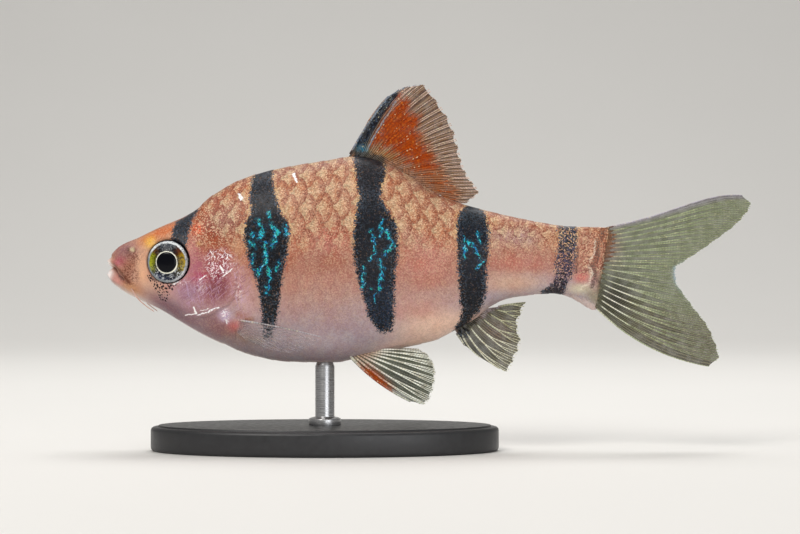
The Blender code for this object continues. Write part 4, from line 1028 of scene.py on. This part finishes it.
def finPlace(spec, k, share):  # the point of the fin's middle sheet, at a ray and a share of its length
    k, share = np.broadcast_arrays(np.asarray(k, float), np.asarray(share, float))
    root = rayLine(spec["roots"])(k)
    line = spec.get("line")
    if line == "tailEnd":
        x = bodyShape["endX"] - bodyShape["endLean"] * (bodyShape["back"][-1][1] - root) + finMesh["gap"]
        root = np.stack([x, root], axis=-1)
    elif line:
        outline, way = (backLine, 1) if line == "back" else (bellyLine, -1)
        slope = (outline(root + 0.05) - outline(root - 0.05)) / 0.1
        gap = way * finMesh["gap"] * (1 - ramp((k - spec["closesFrom"]) / finMesh["gapCloses"]))
        gap = gap / np.hypot(1, slope)
        root = np.stack([root - gap * slope, outline(root) + gap], axis=-1)
    run = rayLine(spec["tips"])(k) - root
    length = np.hypot(run[..., 0], run[..., 1])
    bow = 4 * rayLine(spec["sags"])(k) * share * (1 - share)
    if "lateSags" in spec:  # a bow that is highest at three quarters of the ray
        bow = bow + 256 / 27 * rayLine(spec["lateSags"])(k) * share**3 * (1 - share)
    bow = bow * (share > 0) / length
    x = root[..., 0] + share * run[..., 0] - bow * run[..., 1]
    z = root[..., 1] + share * run[..., 1] + bow * run[..., 0]
    if "rootY" in spec:
        near, far = rayLine(spec["rootY"])(k), rayLine(spec["tipY"])(k)
        y = near + (far - near) * np.sign(share) * np.abs(share) ** spec["bow"]
    else:
        y = finMesh["wave"] * np.sin(k * 1.7) * ramp(share)
    return np.stack([x, y, z], axis=-1), length


# The web's and the rays' colour and cover on one face, then pairs of colours for parts of both,
# and soft spots: x, z, reach in x and z
finLooks = {
    "dorsal": {"web": ((122, 78, 42), 0.68), "rays": ((220, 192, 178), 1.0),
               "front": ((168, 120, 66), (132, 56, 30)), "inner": ((158, 84, 30), (176, 92, 46)),
               "stripe": ((16, 20, 32), (16, 20, 32)), "foot": ((0, 128, 164), (0, 128, 164)),
               "frontSpot": (21.6, 8.9, 1.5, 0.8), "footSpot": (19.75, 9.05, 0.5, 0.5)},
    "anal": {"web": ((72, 66, 32), 0.68), "rays": ((234, 234, 214), 1.0), "rear": (None, (188, 190, 156)),
             "warm": ((104, 76, 56), None), "dark": ((40, 44, 40), None), "inkSpot": (27.6, -5.1, 0.8, 0.55),
             "warmSpot": (30.2, -5.0, 1.3, 0.9), "darkSpot": (28.6, -6.2, 1.2, 0.9)},
    "pelvic": {"web": ((72, 86, 60), 0.56), "rays": ((246, 248, 238), 1.0),
               "root": ((150, 122, 92), (196, 160, 140)), "dark": ((52, 62, 54), None),
               "front": (None, (214, 220, 208)), "darkSpot": (23.0, -8.6, 1.6, 1.0)},
    "pectoral": {"web": ((190, 186, 190), 0.02), "rays": ((196, 190, 196), 0.16),
                 "root": ((206, 130, 110), (214, 140, 118))},
    "tail": {"web": ((88, 100, 46), 0.56), "rays": ((172, 182, 146), 1.0),
             "low": ((38, 40, 34), (255, 252, 240)), "lowerLobe": ((84, 74, 46), None),
             "upperEdge": ((128, 124, 132), (182, 176, 190)), "root": ((104, 76, 58), (214, 190, 166)),
             "fork": ((150, 176, 190), (190, 210, 218)),
             "lowSpot": (39.4, -2.5, 1.7, 1.9), "rootSpot": (39.2, 1.6, 0.7, 1.3)},
}
dorsalMarks = {
    "orange": [(20.75, 9.8), (21.9, 12.0), (22.75, 13.4), (23.1, 12.95), (23.8, 12.1), (24.15, 11.0),
               (24.1, 9.9), (25.0, 8.9), (25.45, 8.1), (25.1, 7.55), (23.9, 7.8), (22.9, 8.7), (21.9, 9.3)],
    "lines": [  # dark stripe, pale line along it, front edge: mark, half widths at the ends, points
        (1, 0.35, 0.2, [(19.5, 8.75), (19.85, 9.77), (21.2, 12.05), (22.34, 13.45)]),
        (2, 0.07, 0.07, [(20.1, 8.9), (20.46, 9.7), (21.3, 11.15), (22.4, 12.9)]),
        (2, 0.08, 0.08, [(18.88, 8.9), (19.76, 10.45), (20.79, 11.95), (21.82, 13.3), (22.48, 13.72),
                         (23.3, 14.05), (24.3, 14.22)]),
    ],
}
pelvicOrange = [(19.7, -7.75), (20.5, -7.85), (21.3, -8.6), (21.95, -9.3), (21.6, -9.7),
                (20.7, -9.0), (20.0, -8.35)]


def finTones(name, rods, k, share, length, x, z):  # colour, cover and finer marks, for the rods or the web
    n, look = len(x), finLooks[name]
    tone, cover = [np.tile(np.array(value, float), (n, 1)) for value in look["rays" if rods else "web"]]
    cover = cover[:, 0]

    def tint(part, weight):
        nonlocal tone
        target = look[part][1 if rods else 0]
        if target:
            tone = mixTo(tone, target, weight)

    marks = np.full((n, 4), -1.0)  # orange, dark stripe, pale line, flesh: depth inside each, in mm
    marks[:, 3] = 0.05 - share * length
    inset = 0.35 if name == "tail" else 0.5
    at = paintBody(np.minimum(x, 38.2), np.clip(z, bellyLine(x) + inset, backLine(x) - inset))
    banded = ramp(at["band"] / 0.3 + 0.5)
    if name == "dorsal":  # the band's ink also takes in the front edge
        banded = np.maximum(banded, ramp((0.8 - k) / 0.4))
    flesh = mixTo(at["tone"][:, :3], at["ink"][:, :3], banded)
    if name == "dorsal":
        marks[:, 0] = insideDepth(x, z, dorsalMarks["orange"])
        marks[:, 0] += 0.22 * np.sin(k * 2 * math.pi) + 0.1 * np.sin(k * 4.7)
        for mark, near, far, line in dorsalMarks["lines"]:
            away, side, along = lineDistance(x, z, line)
            marks[:, mark] = np.maximum(marks[:, mark], near + (far - near) * along - away)
        front, foot = spot(x, z, look["frontSpot"]), spot(x, z, look["footSpot"])
        inner, stripe = 1 - ramp((share - 0.4) / 0.3), ramp(marks[:, 1] / 0.2 + 1)
        tint("front", front)
        tint("inner", inner if rods else inner * (1 - front))
        tint("stripe", stripe)
        tint("foot", foot)
        marks[:, 1] -= 0.5 * foot
        if not rods:
            cover = np.maximum(cover + 0.14 * (1 - ramp((share - 0.5) / 0.4)), 0.8 * foot)
    elif name == "anal":
        dark = np.maximum(ramp((0.85 - k) / 0.6), spot(x, z, look["inkSpot"]))
        marks[:, 1] = (dark - 0.55) * 0.6
        tint("rear", ramp((k - 4.2) / 1.5) * 0.8)
        tint("warm", spot(x, z, look["warmSpot"]))
        tint("dark", spot(x, z, look["darkSpot"]))
    elif name == "pelvic":
        marks[:, 0] = 0.12 + insideDepth(x, z, pelvicOrange)
        tint("root", 1 - ramp(share / 0.3))
        tint("dark", spot(x, z, look["darkSpot"]))
        tint("front", ramp((1.4 - k) / 0.8) * 0.8)
    elif name == "pectoral":
        tint("root", ramp((0.16 - share) / 0.16))
        if rods:  # the first ray is the most solid
            cover = cover + (0.85 - cover) * ramp((0.9 - k) / 0.6)
    else:
        flesh = flesh * (1 - 0.5 * ramp((z + 0.3) / 0.8))[:, None]
        low, lowerLobe = spot(x, z, look["lowSpot"]), ramp((k - 11.5) / 3)
        tint("low", low)
        tint("lowerLobe", lowerLobe * (1 - low) * 0.8)
        tint("upperEdge", ramp((0.75 - k) / 0.5))
        tint("root", spot(x, z, look["rootSpot"]))
        tint("fork", ramp((share - 0.93) / 0.05) * bell(k - 9.6, 1.6))
        marks[:, 3] += 0.5 * ramp((z - 0.2) / 0.8) * ramp((3.0 - z) / 0.6) + 0.18 * np.cos(k * 2 * math.pi)
        if not rods:
            cover = cover + 0.24 * low + 0.1 * lowerLobe
    flesh = np.column_stack([flesh, np.ones(n)])
    return {"tone": toned(tone, np.clip(cover, 0, 1)), "marks": marks, "flesh": flesh}


def buildWeb(name, label, spec, side, material):
    last = spec["rays"] - 1
    web, u, v = gridPiece(label + "Web", last * finMesh["perGap"], 2 * finMesh["rows"])
    k = u * last
    up = 1 - np.abs(2 * v - 1)  # 0 at both roots and 1 at the edge, where the two faces meet
    between = np.sin(math.pi * (k - np.floor(k))) ** 0.8
    length = finPlace(spec, k, 1.0)[1]
    low = -finMesh["rootIn"] - finMesh["rootDeep"] / length
    share = low + up * (1 - spec["notch"] * between / length - low)
    points = finPlace(spec, k, share)[0]
    closed = np.minimum(1, np.minimum(k, last - k) / finMesh["edgeClosed"])
    closed *= np.minimum(1, np.minimum(up, 1 - up) / finMesh["endClosed"])
    half = finMesh["webHalf"] + finMesh["rootHalf"] * ramp(1 - share * length / finMesh["rootFades"])
    points[:, 1] += np.where(v < 0.5, -half, half) * np.sqrt(np.maximum(closed, 0))
    points[:, 1] *= side
    setPoints(web, toWorld(points))
    tones = finTones(name, False, k, share, length, points[:, 0], points[:, 2])
    giveValues(web, {**tones, "fan": k})
    finishPiece(web, material, [], 70, 0.0004)


def buildRays(name, label, spec, side, material, nodes):
    sides, rootIn = finMesh["rodSides"], -finMesh["rootIn"]
    first, second = spec["forks"]
    firstOpen, secondOpen = spec["open"]
    wideFork, narrowFork, reach = finMesh["wideFork"], finMesh["narrowFork"], finMesh["forkReach"]
    turn = np.arange(sides) * 2 * math.pi / sides
    points, faces, mapPoints, found = [], [], [], []
    rng = np.random.default_rng(len(label))
    for ray in range(spec["rays"]):
        if ray < spec["plainRays"] or (name == "tail" and ray == spec["rays"] - 1):
            branches = [(0.0, 0.0, rootIn)]
        else:  # the first rod runs from the root, and the others leave it at the forks
            branches = [(-wideFork, -narrowFork, rootIn), (-wideFork, narrowFork, second),
                        (wideFork, -narrowFork, first), (wideFork, narrowFork, second)]
        jitter = rng.normal(0, finMesh["jitter"], 2)
        for wide, narrow, start in branches:
            rows = max(finMesh["leastRows"], round(finMesh["rodRows"] * (1 - start)))
            share = start + (1 - start) * np.linspace(0, 1, rows)
            opened = wide * ramp((share - first - jitter[0]) / (firstOpen - first)) * reach
            opened += narrow * ramp((share - second - jitter[1]) / (secondOpen - second)) * reach
            k = np.clip(ray + opened * spec["spread"], 0, spec["rays"] - 1)
            line, length = finPlace(spec, k, share)
            radius = spec["rodRoot"] + (spec["rodTip"] - spec["rodRoot"]) * ramp(share * 0.9) ** 0.8
            if len(branches) > 1:
                radius = radius * (1 - finMesh["thinner"] * ramp((share - first) / finMesh["thinsOver"]))
            elif ray == 0 and name != "tail":
                radius = radius * finMesh["firstThicker"]
            across, out = tubeFrame(line, (0.0, 1.0, 0.0))
            ring = np.cos(turn)[:, None] * across[:, None] + np.sin(turn)[:, None] * out[:, None]
            tube = (line[:, None] + radius[:, None, None] * ring).reshape(-1, 3)
            tube[:, 1] *= side
            base = sum(len(p) for p in points)
            points.append(tube)
            for a in range(base, base + (rows - 1) * sides, sides):
                faces += [[a + s, a + (s + 1) % sides, a + sides + (s + 1) % sides, a + sides + s]
                          for s in range(sides)]
            faces += [[end + s for s in range(sides)] for end in (base, base + (rows - 1) * sides)]
            k, along, length = np.repeat(k, sides), np.repeat(share, sides), np.repeat(length, sides)
            tones = finTones(name, True, k, along, length, tube[:, 0], tube[:, 2])
            found.append({**tones, "run": along * length})
            strip = (ray + 0.5 + 0.9 * (wide + narrow)) / (spec["rays"] + 1)
            strip = strip + 0.04 / spec["rays"] * np.tile(turn / math.pi - 1, rows)
            mapPoints.append(np.stack([strip, (along + 0.1) / 1.15], axis=1))
    piece = joinedPiece(label + "Rays", points, faces, mapPoints)
    giveValues(piece, {key: np.concatenate([table[key] for table in found]) for key in found[0]})
    finishPiece(piece, material, nodes, 60)


def finPaint(name, settings):  # the coats that web and rays share
    paint = Paint(name, settings)
    step, mix, times = paint.step, paint.mix, paint.times
    tone, marks, flesh = paint.read("tone"), paint.read("marks"), paint.read("flesh")["Color"]
    orangeIn, darkIn, paleIn = paint.split(marks["Color"])
    grainA, grainB, grainC = paint.grains(0.1)
    shake = paint.shaken(0.0, (paint.noise(0.35, 3.0), 0.7), (grainA, 0.24))
    paint.colour, paint.cover = tone["Color"], tone["Alpha"]

    def coat(depth, shakes, low, high, colour, covers, grains=1.0, strength=1.0):
        inside = times(step(paint.plus(depth, times(shake, shakes)), low, high), grains)
        paint.lay(colour, inside, strength)
        paint.cover = paint.math("MAXIMUM", paint.cover, times(inside, covers))
        return paint.minus(1.0, inside)

    orange = mix(grainB, (152, 50, 0), (184, 78, 0))
    orange = mix(step(grainC, 0.9, 0.94, 0.0, 0.3), orange, (236, 150, 60))
    plain = coat(orangeIn, 1.0, -0.6, 0.5, orange, 0.97)
    black = mix(step(grainB, 0.5, 0.75, 0.0, 0.7), (14, 16, 28), (84, 104, 128))
    black = mix(step(grainA, 0.3, 0.6, 0.2, 0.8), black, tone["Color"])
    plain = times(plain, coat(darkIn, 0.4, -0.04, 0.05, black, 0.85))
    coat(paleIn, 0.25, -0.03, 0.03, (138, 154, 174), 0.8, step(grainC, 0.15, 0.35, 0.35, 0.9))
    flesh = mix(step(grainB, 0.3, 0.5, 0.7, 0.0), flesh, (150, 104, 92), "MULTIPLY")
    flesh = mix(step(grainC, 0.6, 0.8, 0.0, 0.3), flesh, (255, 226, 190), "OVERLAY")
    coat(marks["Alpha"], 0.9, -0.12, 0.12, flesh, 0.85, strength=0.9)
    return paint, {"plain": plain, "grains": grainC}  # plain is 1 where neither orange nor dark lies


def webMaterial():
    paint, found = finPaint("finWeb", {"Roughness": 0.35, "Specular IOR Level": 0.08})
    step, lay, times = paint.step, paint.lay, paint.times
    fine, cloud = paint.noise(0.16), paint.noise(0.7)
    lay((58, 48, 40), step(fine, 0.35, 0.7, 0.0, 0.3))
    # Finer rays, pale with dark gaps, drawn between the rods
    fan = paint.read("fan")["Fac"]
    lines = paint.math("SINE", paint.plus(times(fan, 8 * math.pi), times(cloud, 3.0)))
    gaps = times(step(lines, -0.1, -0.9, 0.0, 0.62), step(found["plain"], 0.0, 1.0, 0.5, 1.0))
    lay((112, 98, 82), gaps, blend="MULTIPLY")
    lay((170, 164, 140), step(lines, 0.3, 0.9, 0.0, 0.32), found["plain"], blend="SCREEN")
    paint.cover = times(paint.cover, step(cloud, 0.3, 0.7, 0.85, 1.1))
    return paint.finish(cloud, 0.02, 0.5)


def rayMaterial():
    paint, found = finPaint("finRays", {"Roughness": 0.32, "Specular IOR Level": 0.15})
    step, lay = paint.step, paint.lay
    # Bony joints along each ray, and pale and gold flecks
    joints = paint.math("FRACT", paint.times(paint.read("run")["Fac"], 1 / 0.21))
    lay((158, 146, 128), step(joints, 0.4, 0.2, 0.0, 0.5), blend="MULTIPLY")
    lay((164, 152, 130), step(paint.noise(0.5, 3.0), 0.45, 0.66, 0.0, 0.5), blend="MULTIPLY")
    lay((255, 246, 206), step(found["grains"], 0.88, 0.93, 0.0, 0.45))
    return paint.finish(joints, 0.01, 0.3)


def buildFins():
    web, rays = webMaterial(), rayMaterial()
    for name, spec in fins.items():
        for word, side in flanks if "rootY" in spec else (("", 1.0),):
            buildWeb(name, name + word, spec, side, web)
            buildRays(name, name + word, spec, side, rays, [node + word.lower() for node in spec["nodes"]])


# Eyes: a shallow dome with the lens standing a little out of the pupil
eyeLook = {"segments": 96, "rings": 64, "dome": 0.66, "back": 0.75, "pupil": 0.47, "ring": 0.505,
           "irisEnd": 0.85, "rim": 0.955, "lensRise": 0.07, "lensEdge": 0.06,
           "irisDip": 0.05, "irisDipAt": 0.68, "irisDipWidth": 0.16,
           "rimRise": 0.04, "rimRiseAt": 0.9, "rimRiseWidth": 0.05}
irisKeys = [  # degrees round the iris from the rear, then up: colour, rim's brightness (its brightest places painted highlights on the silver), ring's width, flecks
    (0, 150, 124, 22, 0.45, 0.0, 0.0), (25, 138, 112, 22, 0.6, 0.0, 0.0), (42, 84, 40, 22, 0.95, 0.0, 0.0),
    (58, 50, 34, 30, 0.95, 0.0, 0.1), (68, 20, 30, 42, 0.8, 0.0, 0.2), (112, 16, 26, 38, 0.75, 0.0, 0.2),
    (128, 60, 38, 26, 1.0, 0.0, 0.1), (142, 88, 58, 26, 0.85, 0.0, 0.0), (152, 126, 128, 26, 0.45, 0.0, 0.0),
    (190, 138, 142, 36, 0.2, 0.0, 0.0), (212, 100, 102, 54, 0.2, 0.0, 0.3),
    (228, 50, 56, 78, 0.25, 0.01, 0.7), (262, 40, 46, 64, 0.3, 0.015, 0.6),
    (292, 36, 38, 50, 0.4, 0.02, 0.6), (318, 80, 76, 60, 0.85, 0.035, 0.7),
    (338, 146, 128, 50, 0.55, 0.02, 0.2), (360, 150, 124, 22, 0.45, 0.0, 0.0),
]
eyeColours = {"shadow": (14, 16, 20), "fleck": (206, 210, 214), "grey": (64, 74, 80),
              "silverWithHighlight": (240, 244, 246), "greyGrain": (96, 106, 116), "rim": (22, 20, 26),
              "ring": (246, 244, 226), "pupil": (4, 5, 12)}


def eyeMaterial():
    tints = eyeColours
    paint = Paint("fishEye", {"Roughness": 0.2, "Specular IOR Level": 0.12, "Coat Weight": 0.06,
                              "Coat Roughness": 0.05})
    step, lay, mix = paint.step, paint.lay, paint.mix
    paint.colour, ring = paint.read("tone")["Color"], paint.read("ring")["Fac"]
    bright, ringWide, fleck = paint.split(paint.read("marks")["Color"])
    fine = paint.noise(0.14, 3.0)
    grainA, grainB = paint.grains(0.09)[:2]
    wobbly = paint.shaken(ring, (fine, 0.07))
    pupil, whiteEnd, irisEnd, rim = [eyeLook[key] for key in ("pupil", "ring", "irisEnd", "rim")]
    lay(tints["shadow"], step(fine, 0.46, 0.62, 0.0, 0.75))
    lay(tints["fleck"], step(grainA, 0.7, 0.78), fleck)
    # Silver rim, grey on the left and white over the top, where painted highlights lie on the silver, then
    # its dark edge
    silverWithHighlight = mix(bright, tints["grey"], tints["silverWithHighlight"])
    silverWithHighlight = mix(step(grainB, 0.6, 0.8, 0.0, 0.6), silverWithHighlight, tints["greyGrain"])
    lay(silverWithHighlight, step(wobbly, irisEnd - 0.03, irisEnd + 0.02))
    lay(tints["rim"], step(wobbly, rim - 0.03, rim + 0.01))
    # The white ring, then the pupil
    lay(tints["ring"], step(paint.minus(wobbly, ringWide), whiteEnd + 0.02, whiteEnd - 0.02))
    lay(tints["pupil"], step(ring, pupil + 0.012, pupil - 0.012))
    return paint.finish(fine, 0.01, 0.25)


def buildEyes(material):
    radius, yaw, pitch = eyePlace["radius"], math.radians(eyePlace["yaw"]), math.radians(eyePlace["pitch"])
    for word, side in flanks:
        selectOnly()
        bpy.ops.mesh.primitive_uv_sphere_add(segments=eyeLook["segments"], ring_count=eyeLook["rings"],
                                             radius=1.0)
        eye = nameNew("eye" + word)
        dx, dz, front = readPoints(eye).astype(float).T
        ring = np.hypot(dx, dz)
        dome = eyeLook["dome"] * np.sqrt(np.maximum(1 - ring**2.4, 0))
        dome -= eyeLook["irisDip"] * bell(ring - eyeLook["irisDipAt"], eyeLook["irisDipWidth"])
        dome += eyeLook["rimRise"] * bell(ring - eyeLook["rimRiseAt"], eyeLook["rimRiseWidth"])
        dome += eyeLook["lensRise"] * ramp((eyeLook["pupil"] + 0.01 - ring) / eyeLook["lensEdge"])
        outside = front >= -1e-4
        depth = np.where(outside, dome, -eyeLook["back"] * np.sqrt(np.maximum(1 - ring**2, 0)))
        x = dx * radius * math.cos(yaw) - depth * math.sin(yaw) + eyePlace["x"]
        y = dx * radius * math.sin(yaw) + depth * math.cos(yaw) + eyePlace["centreY"]
        z = dz * radius - depth * math.sin(pitch) + eyePlace["z"]
        setPoints(eye, toWorld(np.stack([x, y * side, z], axis=1)))
        angle = np.degrees(np.arctan2(dz, dx)) % 360
        keys = np.array(irisKeys, float).T
        found = np.stack([np.interp(angle, keys[0], column) for column in keys[1:]], axis=1)
        shade = 0.7 + 0.45 * ramp((ring - 0.52) / 0.25)
        tone, marks = toned(found[:, :3] * shade[:, None], ring), np.column_stack([found[:, 3:], ring])
        giveValues(eye, {"tone": tone, "marks": marks, "ring": np.where(outside, ring, 1.0)})
        finishPiece(eye, material, ["eye_" + word.lower()], 50, 0.00005)


# Barbels: two fine feelers from the corners of the jaw
barbel = {
    "path": [(1.75, 0.6, -1.25), (2.1, 1.2, -1.75), (2.6, 1.35, -2.45), (3.15, 1.3, -2.95),
             (3.8, 1.1, -3.42)],
    "root": 0.07, "tip": 0.03, "rounding": 0.03, "rows": 30, "sides": 12,
}


def barbelMaterial():
    paint = Paint("barbelSkin", {"Roughness": 0.35, "Coat Weight": 0.3})
    cloud = paint.noise(0.3, 3.0)
    paint.colour = paint.mix(cloud, (186, 136, 120), (222, 186, 170))
    return paint.finish(cloud, 0.02, 0.4)


def buildBarbels(material):
    for word, side in flanks:
        piece, u, v = gridPiece("barbel" + word, barbel["rows"], barbel["sides"])
        row = np.round(u * barbel["rows"]).astype(int)
        line = curvePoints(barbel["path"], barbel["rows"] + 1) * (1, side, 1)
        across, up = tubeFrame(line, (0.0, 0.0, 1.0))
        radius = barbel["root"] + (barbel["tip"] - barbel["root"]) * u**0.8
        for end in (u, 1 - u):  # rounded off
            radius = radius * np.sqrt(np.clip(end / barbel["rounding"], 0, 1))
        turn = v * 2 * math.pi
        ring = np.cos(turn)[:, None] * across[row] + np.sin(turn)[:, None] * up[row]
        setPoints(piece, toWorld(line[row] + radius[:, None] * ring))
        finishPiece(piece, material, ["barbel_" + word.lower()], 60, 0.00005)


# Stand: an oval black plinth and a steel rod with a collar
stand = {"length": 27.0, "width": 14.0, "height": 2.0, "step": 0.55, "stepRise": 0.12, "stepLean": 0.08,
         "underStep": 0.5, "sides": 128, "bevel": 0.3, "rodSides": 48, "rodBevel": 0.07, "sunk": 0.05,
         "rodRadius": 0.75, "collarRadius": 1.25, "collarHeight": 0.55, "collarRise": 0.1, "rodTop": 7.05,
         "tipRadius": 0.55, "tipHeight": 0.5}


def plinthMaterial():
    paint = Paint("satinBlack", {})
    fleck = paint.noise(0.5, 4.0)
    paint.colour = paint.mix(fleck, (30, 30, 32), (50, 50, 52))
    return paint.finish(paint.noise(0.18, 3.0), 0.02, 0.3, Roughness=paint.step(fleck, 0.3, 0.7, 0.34, 0.46))


def steelMaterial():
    paint = Paint("brushedSteel", {"Metallic": 1.0})
    grain = paint.streaks((1.5, 1.5, 0.035))
    paint.colour = paint.mix(grain, (150, 150, 152), (206, 206, 206))
    return paint.finish(grain, 0.004, 0.5, Roughness=paint.step(grain, 0.3, 0.7, 0.24, 0.38))


def addCylinder(name, sides, size, middle):  # its size each way and its middle's height; left in edit mode
    selectOnly()
    bpy.ops.mesh.primitive_cylinder_add(vertices=sides, radius=0.5, depth=1.0, location=(0, 0, middle * mm))
    piece = nameNew(name)
    piece.scale = Vector(size) * mm
    bpy.ops.object.transform_apply(location=True, rotation=True, scale=True)
    startEdit(piece)
    return piece


def selectFaces(piece, way):  # in edit mode, only the faces that look up (1) or down (-1)
    bpy.ops.mesh.select_mode(type="FACE")
    bpy.ops.mesh.select_all(action="DESELECT")
    mesh = bmesh.from_edit_mesh(piece.data)
    for face in mesh.faces:
        face.select_set(face.normal.z * way > 0.9)
    mesh.select_flush(True)
    bmesh.update_edit_mesh(piece.data)


def insetFaces(width, rise=0.0):
    bpy.ops.mesh.inset(thickness=width * mm, depth=rise * mm)


def softenEdges(piece, width, segments, degrees):
    bpy.ops.object.mode_set(mode="OBJECT")
    edge = piece.modifiers.new("softEdges", "BEVEL")
    edge.width = width * mm
    edge.segments = segments
    edge.limit_method = "ANGLE"
    edge.angle_limit = math.radians(degrees)
    bpy.ops.object.modifier_apply(modifier="softEdges")


def buildStand():
    height = stand["height"] - stand["stepRise"]
    base = addCylinder("standPlinth", stand["sides"], (stand["length"], stand["width"], height), height / 2)
    selectFaces(base, 1)
    insetFaces(stand["step"])
    insetFaces(stand["stepLean"], stand["stepRise"])
    selectFaces(base, -1)
    insetFaces(stand["underStep"])
    softenEdges(base, stand["bevel"], 4, 60)
    finishPiece(base, plinthMaterial(), ["stand_base"], 35)

    bottom, tall, wide = stand["height"] - stand["sunk"], stand["collarHeight"], 2 * stand["collarRadius"]
    rod = addCylinder("standRod", stand["rodSides"], (wide, wide, tall), bottom + tall / 2)
    selectFaces(rod, 1)
    collar = stand["collarRadius"] - stand["rodRadius"]
    insetFaces(collar * 0.6, stand["collarRise"])
    insetFaces(collar * 0.4)
    rise = stand["rodTop"] - bottom - tall - stand["collarRise"]
    for part in (rise - stand["tipHeight"], stand["tipHeight"]):
        bpy.ops.mesh.extrude_region_move(TRANSFORM_OT_translate={"value": (0, 0, part * mm)})
    shrink = stand["tipRadius"] / stand["rodRadius"]
    bpy.ops.transform.resize(value=(shrink, shrink, 1.0))
    softenEdges(rod, stand["rodBevel"], 3, 30)
    finishPiece(rod, steelMaterial(), ["stand_rod"], 35)


addCamera()
addStudio()
wetSkin = skinMaterial()
buildSkin(wetSkin)
buildScales(wetSkin)
buildFins()
buildEyes(eyeMaterial())
buildBarbels(barbelMaterial())
buildStand()
